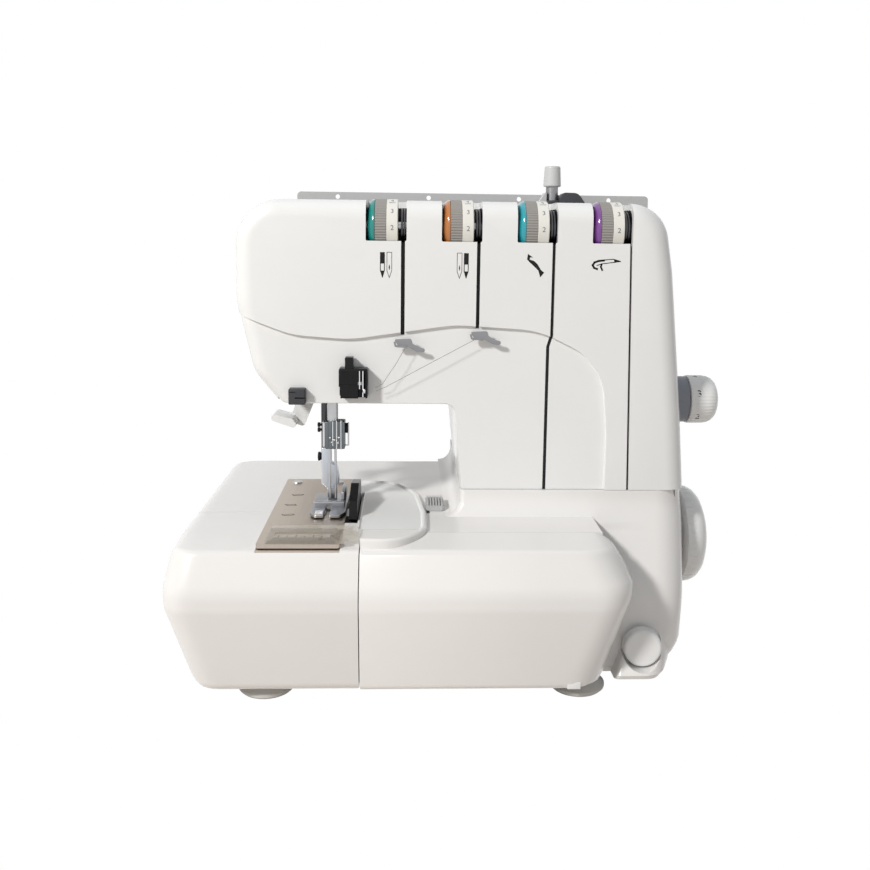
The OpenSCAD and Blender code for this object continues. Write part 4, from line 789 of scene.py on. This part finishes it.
RINGS = [TEAL, ORANGE, TURQUOISE, PURPLE]
RING_SLOTS = ["dial_teal", "dial_orange", "dial_turquoise", "dial_purple"]
RING_R, GRIP_R, BAND_R = 16.8, 16.95, 16.8
RING_END, GRIP_END = -4.7, 2.5
for i, x in enumerate(DIALS):
    body, axis = f"tension_dial_{i + 1}", (DIAL_Y, DIAL_Z)
    left, right = x - DIAL_W / 2, x + DIAL_W / 2
    grip_start, grip_end = x + RING_END, x + GRIP_END
    ring = turned(f"dial_ring_{i + 1}", "X", axis, [
        (left, 8.5), (left + 0.1, 11), (left + 0.6, 13.2), (left + 1.5, 15), (left + 2.6, 16.1),
        (left + 3.7, 16.65), (grip_start - 0.2, RING_R), (grip_start, RING_R - 0.3)], 96)
    grip = ribbed(f"dial_grip_{i + 1}", axis, [
        (grip_start + 0.02, GRIP_R - 0.5), (grip_start + 0.25, GRIP_R),
        (grip_end - 0.25, GRIP_R), (grip_end - 0.02, GRIP_R - 0.5)], 64, 0.38)
    band = turned(f"dial_band_{i + 1}", "X", axis, [
        (grip_end, BAND_R - 0.2), (grip_end + 0.2, BAND_R), (right - 0.4, BAND_R),
        (right, BAND_R - 0.4)], 96)
    band_x = (grip_end + right) / 2
    numerals = [figures(str(k), 4.3, round_x(band_x, axis, BAND_R, 36 * (k - 2) - 3))
                for k in range(10)]
    pointer = wrapped(brick("pointer", (-1.9, -0.22, -0.03), (1.9, 0.22, 0.06), 0),
                      round_x(band_x, axis, BAND_R, 59), MM)
    done(ring, body, RING_SLOTS[i], RINGS[i], body)
    done(grip, body, "grey_plastic", GRIP)
    done(band, body, "white_plastic", CREAM)
    done(join(f"dial_figures_{i + 1}", pointer, *numerals), body, "dark_plastic", FIGURE)
    # A matte black box behind each dial, open at the front. It is painted shade in the window: it
    # stands in for the shadow round the dial, together with the dark inside of the arm.
    shade_well = brick(f"dial_shade_well_{i + 1}", (left - 1.6, Y_ARM + 4.6, WINDOW - 10.2),
                 (SLOTS[i] + 3.1, DIAL_Y + DIAL_R + 2.6, ARM_TOP - 4.3), 0)
    carve(shade_well, brick("room", (left - 0.6, Y_ARM - 2, WINDOW - 9.2),
                      (SLOTS[i] + 2.2, DIAL_Y + DIAL_R + 1.6, ARM_TOP + 3), 0))
    done(shade_well, "machine", "dark_plastic", BLACK_PRINT_AND_SHADE)

# ---- printed signs on the front
FACE = (Y_ARM - 0.07, Y_ARM + 0.25)


def flat(corners):
    """A thin printed patch on the front of the arm."""
    return slab("flat", [(x, z, 0) for x, z in corners], "Y", *FACE)


def stroke(width, *points):
    """A drawn line of this width through (x, z) points."""
    return [flat(corners) for corners in quads(points, width, 0.6)]


def needle_sign(x, filled):
    """A needle, seen from the front, filled in or in outline."""
    top, eye, neck, tip = 261.5, 254.6, 250.4, 246.1
    left, right = x - 1.45, x + 1.45
    if filled:
        return [flat([(left, top), (right, top), (right, eye), (left, eye)]),
                flat([(left, neck), (right, neck), (x + 0.15, tip), (x - 0.15, tip)]),
                *stroke(0.45, (left + 0.22, eye), (left + 0.22, neck)),
                *stroke(0.45, (right - 0.22, eye), (right - 0.22, neck))]
    return [*stroke(0.3, (x, tip), (left, neck), (left, top), (right, top), (right, neck), (x, tip)),
            flat([(x - 0.1, 254), (x + 0.1, 254), (x + 0.4, 252.4), (x + 0.1, 250.8),
                  (x - 0.1, 250.8), (x - 0.4, 252.4)])]


signs = [*needle_sign(-50.4, True), *needle_sign(-46.2, False), *needle_sign(-3.4, False),
         *needle_sign(0.7, True),
         # looper signs, over the third and the fourth dial
         flat([(38.4, 261.5), (41.5, 259.4), (39.7, 259.4), (39.5, 258.1), (42.2, 257.3), (44.5, 255.2),
               (46.5, 251.9), (48.6, 250.2), (46.3, 247.3), (45.0, 251.4), (42.2, 254.1),
               (39.2, 256.7), (37.9, 258.2)]),
         *stroke(1.25, (85.5, 258.1), (82.0, 257.7), (79.5, 256.8), (78.4, 255.1), (79.4, 253.4),
                 (81.4, 252.7)),
         *stroke(0.5, (82.0, 258.0), (91.0, 258.9), (95.6, 257.6)),
         *stroke(0.5, (81.0, 254.9), (84.0, 256.0), (92.0, 257.0), (95.6, 257.6)),
         flat([(91.4, 258.9), (95.8, 257.6), (91.8, 256.9)]),
         *stroke(1.1, (84.0, 255.8), (83.5, 254.1), (84.5, 252.0))]
done(join("front_signs", *signs), "machine", "dark_plastic", BLACK_PRINT_AND_SHADE)

# ---- face parts: thread guard, guides and threads
GUARD_Y = Y_ARM - 7
guard = brick("take_up_guard", (-76.7, GUARD_Y, 172.2), (-59, Y_ARM + 5, 190.8), 1.1)
carve(guard, brick("guard_gap", (-64.9, GUARD_Y - 2, 171), (-60.3, Y_ARM - 1.6, 189.4), 0.3),
      brick("guard_line", (-78, GUARD_Y - 1, 180.2), (-65.6, GUARD_Y + 0.5, 180.9), 0),
      brick("guard_foot", (-78, GUARD_Y - 1, 170), (-75.6, Y_ARM + 1, 179.6), 0.3))
ribs = [brick("rib", (x, GUARD_Y, 181.6), (x + 0.55, GUARD_Y + 1.4, 189.6), 0.1)
        for x in (-74.6, -71.0, -68.2)]
stub = brick("guard_stub", (-72.9, Y_ARM - 6, 188), (-67.9, Y_ARM + 1, 197.5), 0.5)
carve(guard, stub, *ribs, mode="UNION")
done(soften(guard, 0.2, 1), "machine", "dark_plastic", BLACK, "take_up_cover")
bars = [brick("bar", (x, GUARD_Y + 1.2, low), (x + 0.75, GUARD_Y + 2.2, 190.4), 0.15)
        for x, low in ((-64.4, 178), (-62.3, 173))]
done(join("guard_bars", *bars), "machine", "steel", CHROME)
bead = turned("guard_bead", "Z", (-60.9, GUARD_Y + 1.4), [
    (175.2, 0.1), (175.5, 0.9), (176.3, 1.35), (177.2, 1.35), (178, 0.9), (178.4, 0.1)], 24)
done(bead, "machine", "steel", ROD_STEEL)

guides = []
for x, z in ((-37.5, 205.5), (9.2, 210.5)):
    guides.append(slab("guide", [
        (x - 5.6, z + 3.2, 0.8), (x + 5, z + 3.6, 1.2), (x + 5.8, z + 0.6, 1.2), (x + 9.5, z - 1.5, 1),
        (x + 13.6, z - 2.6, 1.6), (x + 13.2, z - 4.8, 1.6), (x + 8.6, z - 4.4, 1),
        (x + 3.4, z - 1.6, 0.8), (x - 3, z - 1, 0.8)], "Y", Y_ARM - 3.6, Y_ARM - 2.6, 5, 0.2))
    guides.append(slab("hook", [
        (x - 6, z + 1.8, 0.5), (x - 4.6, z + 1.8, 0.5), (x - 4.2, z - 0.4, 0.8),
        (x + 2.6, z - 0.9, 0.5), (x + 2.6, z - 2.1, 0.5), (x - 5, z - 1.6, 1.2)],
        "Y", Y_ARM - 3.9, Y_ARM - 3.1, 5, 0.15))
    guides.append(turned("peg", "Y", (x, z + 1), [(Y_ARM - 3, 1.3), (Y_ARM + 6.6, 1.3)], 20))
done(join("thread_guides", *guides), "machine", "steel", GUIDE_STEEL, "face_thread_guides")


def thread(name, *points):
    """A taut length of thread through these points."""
    clear()
    bpy.ops.curve.primitive_bezier_curve_add()
    piece = bpy.context.object
    piece.name = name
    piece.data.splines.remove(piece.data.splines[0])
    line = piece.data.splines.new("POLY")
    line.points.add(len(points) - 1)
    for spot, point in zip(line.points, points):
        spot.co = (*(Vector(point) * MM), 1)
    piece.data.bevel_depth = 0.16 * MM
    piece.data.bevel_resolution = 1
    long = sum((Vector(b) - Vector(a)).length for a, b in zip(points, points[1:])) * MM
    piece.data.materials.append(THREAD)
    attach(piece, "machine")
    tuple(Vector(points[0]) * MM)


thread("left_thread", (-35.4, Y_ARM - 3.9, 205), (-41.5, Y_ARM - 4.2, 194.0),
       (-50, Y_ARM - 4, 181), (-54.5, Y_ARM - 3.2, 178.6))
thread("right_thread", (7.6, Y_ARM - 3.9, 209.6), (-20, Y_ARM - 4.2, 194.6),
       (-48, Y_ARM - 4.0, 179.2), (-54, Y_ARM - 3.4, 176.4))

cutter = brick("thread_cutter_block", (-107.8, Y_ARM - 4, 167.6), (-97.4, Y_ARM + 6.5, 177.5), 0.8)
carve(cutter, brick("cutter_slot", (-103.8, Y_ARM - 6, 171.4), (-95, Y_ARM - 2.4, 172.3), 0),
      brick("cutter_lip", (-109, Y_ARM - 5, 175.1), (-103.5, Y_ARM - 3.2, 175.7), 0))
done(cutter, "machine", "dark_plastic", DARK_GREY, "thread_cutter")

# ---- needle clamp, presser and foot
block = brick("clamp_block", (-86.6, -61, 137.2), (-74, -51.2, 155), 0.8)
grooves = [brick("groove", (x, -62, 139), (x + 0.7, -60.2, 156), 0)
           for x in (-84.6, -82.4, -80.2, -78.0, -76)]
carve(block, *grooves, brick("notch", (-84, -62, 142.6), (-76.6, -60.4, 144.2), 0.2))
done(soften(block, 0.15, 1), "needle_bar", "dark_steel", CLAMP_STEEL, "needle_clamp")
bright = [brick("clamp_side", (-88, -60.6, 138.5), (-86.5, -52.5, 154.5), 0.4),
          turned("clamp_wire", "Z", (-71.9, -57), [
              (138.6, 0.1), (139, 0.5), (153.4, 0.5), (153.8, 0.1)], 12),
          brick("wire_foot", (-74.2, -57.5, 138.6), (-71.5, -56.5, 139.4), 0.2)]
for x, low, high in ((-81.6, 139, 155.4), (-79.2, 137, 156), (-76.4, 137, 156)):
    bright.append(turned("clamp_rod", "Z", (x, -61.0), [
        (low, 0.1), (low + 0.3, 0.42), (high - 0.3, 0.42), (high, 0.1)], 10))
for x, z in ((-83.4, 144.6), (-80.6, 143.2), (-77.8, 144.8), (-82.2, 141.6), (-78.4, 141.2)):
    bright.append(turned("clamp_bead", "X", (-61, z), [
        (x - 1, 0.1), (x - 0.5, 0.8), (x + 0.5, 0.8), (x + 1, 0.1)], 12))
done(join("clamp_bright_parts", *bright), "needle_bar", "steel", ROD_STEEL)
clamp_screws = [turned("clamp_screw", "X", (-56, 150), [
    (-74.2, 1.2), (-73.9, 3.2), (-72.5, 3.3), (-72.1, 2.9)], 32)]
for z in (152, 148.8):
    clamp_screws.append(turned("screw_end", "X", (-56, z), [
        (-91.6, 0.7), (-91.4, 1.5), (-89.8, 1.5), (-89.6, 0.8), (-88, 0.8)], 20))
done(join("clamp_screws", *clamp_screws), "needle_bar", "dark_steel", BLACK)

shank = slab("foot_shank", [
    (-90.2, 134, 0.6), (-84.2, 134, 0.6), (-84.2, 123.6, 0.8), (-80.8, 121.6, 0.8),
    (-79.2, 114.2, 0.8), (-79.2, 110, 0.6), (-86, 106.4, 0.6), (-90.6, 110, 0.6)],
    "Y", -44, -36, 5, 0.5)
shank_screw = turned("shank_screw", "X", (-40, 127.5), [
    (-93.2, 1.2), (-92.9, 2.9), (-91.6, 3.0), (-91.2, 2.4), (-90, 2.2)], 28)
done(shank, "presser_bar", "steel", SHANK, "foot_holder")
done(shank_screw, "presser_bar", "dark_steel", BLACK)

sole = slab("foot_sole", [
    (-95, -74, 1.5), (-92, -80, 3), (-86, -80, 0.6), (-86, -62, 0.6), (-82.5, -62, 0.6),
    (-82.5, -80, 0.6), (-76, -80, 3), (-72.8, -73, 1.5), (-72.8, -32, 1.5), (-95, -32, 1.5)],
    "Z", 98.2, 100, 5, 0.35)
carve(sole, brick("needle_opening", (-85.9, -58.4, 96), (-78.2, -53.2, 103), 0))
ankle = brick("foot_ankle", (-86.5, -50, 99.6), (-80.4, -40, 108.6), 0.6)
rail = brick("foot_rail", (-76.6, -58, 99.6), (-74.2, -36, 108.6), 0.6)
bridge = brick("foot_bridge", (-94, -62, 99.6), (-74, -58.6, 103.2), 0.5)
done(join("foot_body", sole, ankle, rail, bridge), "presser_foot", "steel", FOOT_STEEL, "presser_foot")
# A raised chrome patch on the foot's toe, brighter than the rest of the foot: painted highlight where
# the toe catches the light.
toe_highlight = brick("foot_toe_highlight", (-91.4, -79.8, 99.4), (-86.2, -73, 101.2), 0.4)
done(toe_highlight, "presser_foot", "steel", CHROME)

# ---- marks on the bed
def on_top(points, width, z):
    """A line drawn on a level surface through (x, y) points."""
    return [slab("mark", [(*corner, 0) for corner in corners], "Z", z - 0.1, z + 0.04)
            for corners in quads(points, width)]


stitches = []
for x, y, tail in ((-108.4, -27, 1), (-110.2, -50, -1), (-109.2, -71, 1)):
    stitches += on_top([
        (x - 3.8, y + 1.2), (x - 1.2, y - 1.6), (x + 2.2, y - 1.5), (x + 4.2, y + 0.6 * tail),
        (x + 2.4, y + 1.6), (x - 0.4, y + 0.6), (x - 3, y - 1.2 * tail)], 0.5, plate_hi.z)
done(join("stitch_marks", *stitches), "machine", "dark_plastic", MARK)
scale = []
SCALE_Z = reach("seam_guide")[0].z + 2
for k in range(8):
    x = -108 + 5 * k
    scale += on_top([(x, -119.6), (x, -116.6 if k % 2 else -115.4)], 0.35, SCALE_Z)
done(join("seam_scale", *scale), "machine", "dark_plastic", MARK)
# A flat black patch beside the width slide: painted shade where its slot opens into the bed.
slot_front, slot_rear = slide_lo.y - 4, slide_hi.y - 0.5
slide_slot_shade = slab("slide_slot_shade", [
    (slide_lo.x - 0.1, slot_rear, 0.3), (slide_lo.x + 1.5, slot_rear, 0.3),
    (slide_lo.x + 2.6, slot_front, 0.3), (slide_lo.x + 0.6, slot_front, 0.3)],
    "Z", BED - 0.3, BED + 0.08)
done(slide_slot_shade, "machine", "dark_plastic", BLACK_PRINT_AND_SHADE)

# ---- stitch length dial
length_collar = turned("length_dial_collar", "X", LENGTH_AXIS, [
    (X_RIGHT - 11, 4.4), (X_RIGHT - 5, 4.4), (X_RIGHT - 4.6, 15), (X_RIGHT - 4.2, 15.4),
    (152.2, 15.4), (152.8, 14.6)], 80)
done(length_collar, "machine", "grey_plastic", DIAL_GREY, "length_dial_base")
length_cap = ribbed("length_dial_cap", LENGTH_AXIS, [
    (153.1, 15), (153.5, 15.9), (154.3, 16.15), (164, 16.1), (167, 15.6), (169.4, 14.5),
    (171.4, 12.6), (172.8, 9.8), (173.5, 6)], 44, 0.22)
done(length_cap, "length_dial", "white_plastic", WHITE, "length_dial")
lengths = [figures(str(k), 6.4, round_x(158.5, LENGTH_AXIS, 16.05, 22 + 60 * (k - 3)))
           for k in range(1, 6)]
done(join("length_figures", *lengths), "length_dial", "dark_plastic", BLACK_PRINT_AND_SHADE)

# ---- handwheel
wheel = turned("handwheel_rim", "X", WHEEL_AXIS, [
    (150.5, 10), (150.5, 27), (151, 30.8), (152.4, 32.6), (155.5, 32.9), (159, 32.4), (162.4, 30.8),
    (165.4, 27.6), (167.6, 22.6), (168.9, 16), (169.4, 8), (169.5, 2)], 96)
GRIPS, GRIP_CIRCLE = 36, 34.1
grips = []
for k in range(GRIPS):
    turn = 2 * math.pi * k / GRIPS
    place = (WHEEL_AXIS[0] + GRIP_CIRCLE * math.cos(turn), WHEEL_AXIS[1] + GRIP_CIRCLE * math.sin(turn))
    grips.append(turned("grip", "X", place, [(148, 1.7), (158.2, 1.7), (159.4, 1.2), (160, 0.3)], 10))
carve(wheel, join("grips", *grips))
done(soften(wheel, 0.25, 2, 50), "drive_shaft", "white_plastic", WHITE, "handwheel")

# ---- collar that holds the guide bar on the mast
collar = turned("guide_bar_ring", "Z", (71.5, 58), [
    (292.3, 7.2), (292.6, 7.6), (298.4, 7.6), (298.9, 7.1)], 48)
hump = slab("guide_bar_hump", [
    (76.2, 292.4, 0.5), (95.4, 292.4, 1), (95.4, 297.5, 4), (90, 304.6, 6), (79, 304.8, 4),
    (76.2, 300.5, 2)], "Y", 51, 65.8, 6, 0.8)
wedge = slab("guide_bar_wedge", [
    (57.7, 292.4, 0.5), (67, 292.4, 0.5), (67, 305.4, 1), (64.6, 303.6, 3)], "Y", 52, 65.8, 5, 0.6)
done(join("guide_bar_clamp", collar, hump), "mast_top", "dark_plastic", DARK_GREY, "guide_bar_collar")
done(wedge, "mast_top", "grey_plastic", PALE_GREY)

# ---- white tab under the looper cover
tab = brick("cover_tab", (60, Y_FRONT + 9.2, 10.3), (67.9, Y_FRONT + 13, 14.6), 0.4)
done(tab, "looper_cover", "base_white", WHITE)

# ---- camera, light and backdrop
# the view is a square of 870 pixels, and its focal length and centre are in pixels too
VIEW, FOCAL, CENTRE_X, CENTRE_Y = 870, 900, 443.82, 364.22
SENSOR = 36
EYE = Vector((-33.51, -619.73, 270.64)) * MM
scene = bpy.context.scene
scene.view_settings.view_transform = "Standard"
yaw, pitch, roll = math.radians(2.21), math.radians(8.0), math.radians(0.73)
ahead = Vector((math.sin(yaw) * math.cos(pitch), math.cos(yaw) * math.cos(pitch), -math.sin(pitch)))
level_right = Vector((math.cos(yaw), -math.sin(yaw), 0))
level_up = level_right.cross(ahead)
camera_right = level_right * math.cos(roll) + level_up * math.sin(roll)
camera_up = level_up * math.cos(roll) - level_right * math.sin(roll)
clear()
bpy.ops.object.camera_add(location=EYE)
camera = bpy.context.object
camera.matrix_world = Matrix((camera_right, camera_up, -ahead)).transposed().to_4x4()
camera.location = EYE
camera.data.sensor_width = SENSOR
camera.data.lens = FOCAL / VIEW * SENSOR
camera.data.shift_x = -(CENTRE_X - VIEW / 2) / VIEW
camera.data.shift_y = (CENTRE_Y - VIEW / 2) / VIEW
camera.data.clip_end = 50
scene.camera = camera


def white_behind(tree, lit, white, output):
    """Light falls on the lit shader, but the camera, mirrors and clear parts see the white one."""
    rays = tree.nodes.new("ShaderNodeLightPath").outputs
    seen = rays["Is Camera Ray"]
    for ray in ("Is Transmission Ray", "Is Glossy Ray"):
        either = tree.nodes.new("ShaderNodeMath")
        either.operation = "MAXIMUM"
        tree.links.new(seen, either.inputs[0])
        tree.links.new(rays[ray], either.inputs[1])
        seen = either.outputs[0]
    mix = tree.nodes.new("ShaderNodeMixShader")
    for socket, source in zip(mix.inputs, (seen, lit.outputs[0], white.outputs[0])):
        tree.links.new(source, socket)
    tree.links.new(mix.outputs[0], tree.nodes[output].inputs["Surface"])


world = bpy.data.worlds.new("studio")
scene.world = world
world.use_nodes = True
fill, white = world.node_tree.nodes["Background"], world.node_tree.nodes.new("ShaderNodeBackground")
for light, colour, strength in ((fill, (0.93, 0.96, 1.0, 1), 0.33), (white, (1, 1, 1, 1), 1.0)):
    light.inputs["Color"].default_value = colour
    light.inputs["Strength"].default_value = strength
white_behind(world.node_tree, fill, white, "World Output")


def softbox(name, place, aim, size, power, colour=(1, 1, 1)):
    """A rectangular lamp aimed at a point. Places and sizes are in metres here."""
    clear()
    bpy.ops.object.light_add(type="AREA", location=place)
    lamp = bpy.context.object
    lamp.name = name
    lamp.data.shape = "RECTANGLE"
    lamp.data.size, lamp.data.size_y = size
    lamp.data.energy = power
    lamp.data.color = colour
    lamp.rotation_euler = (Vector(aim) - Vector(place)).to_track_quat("-Z", "Y").to_euler()


softbox("key", (-1.45, -1.45, 1.5), (0, -0.06, 0.15), (0.25, 0.25), 48, (1, 0.985, 0.96))
softbox("front", (0.1, -1.9, 0.9), (0, 0, 0.15), (1.4, 1.0), 1.5)
softbox("top", (0.1, 0.0, 1.5), (0, 0, 0.1), (1.2, 0.9), 1)

clear()
bpy.ops.mesh.primitive_plane_add(size=8, location=(0, 0, 0))
floor = bpy.context.object
floor.name = "floor"
table_top = bpy.data.materials.new("white_table")
table_top.use_nodes = True
adjust(table_top, Base_Color=(0.62, 0.56, 0.50, 1), Roughness=0.9)
tree = table_top.node_tree
glow = tree.nodes.new("ShaderNodeEmission")
white_behind(tree, tree.nodes["Principled BSDF"], glow, "Material Output")
floor.data.materials.append(table_top)
floor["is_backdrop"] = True

low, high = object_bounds()
{"cad": [list(cad_box[0]), list(cad_box[1])], "visual": [list(low), list(high)]}
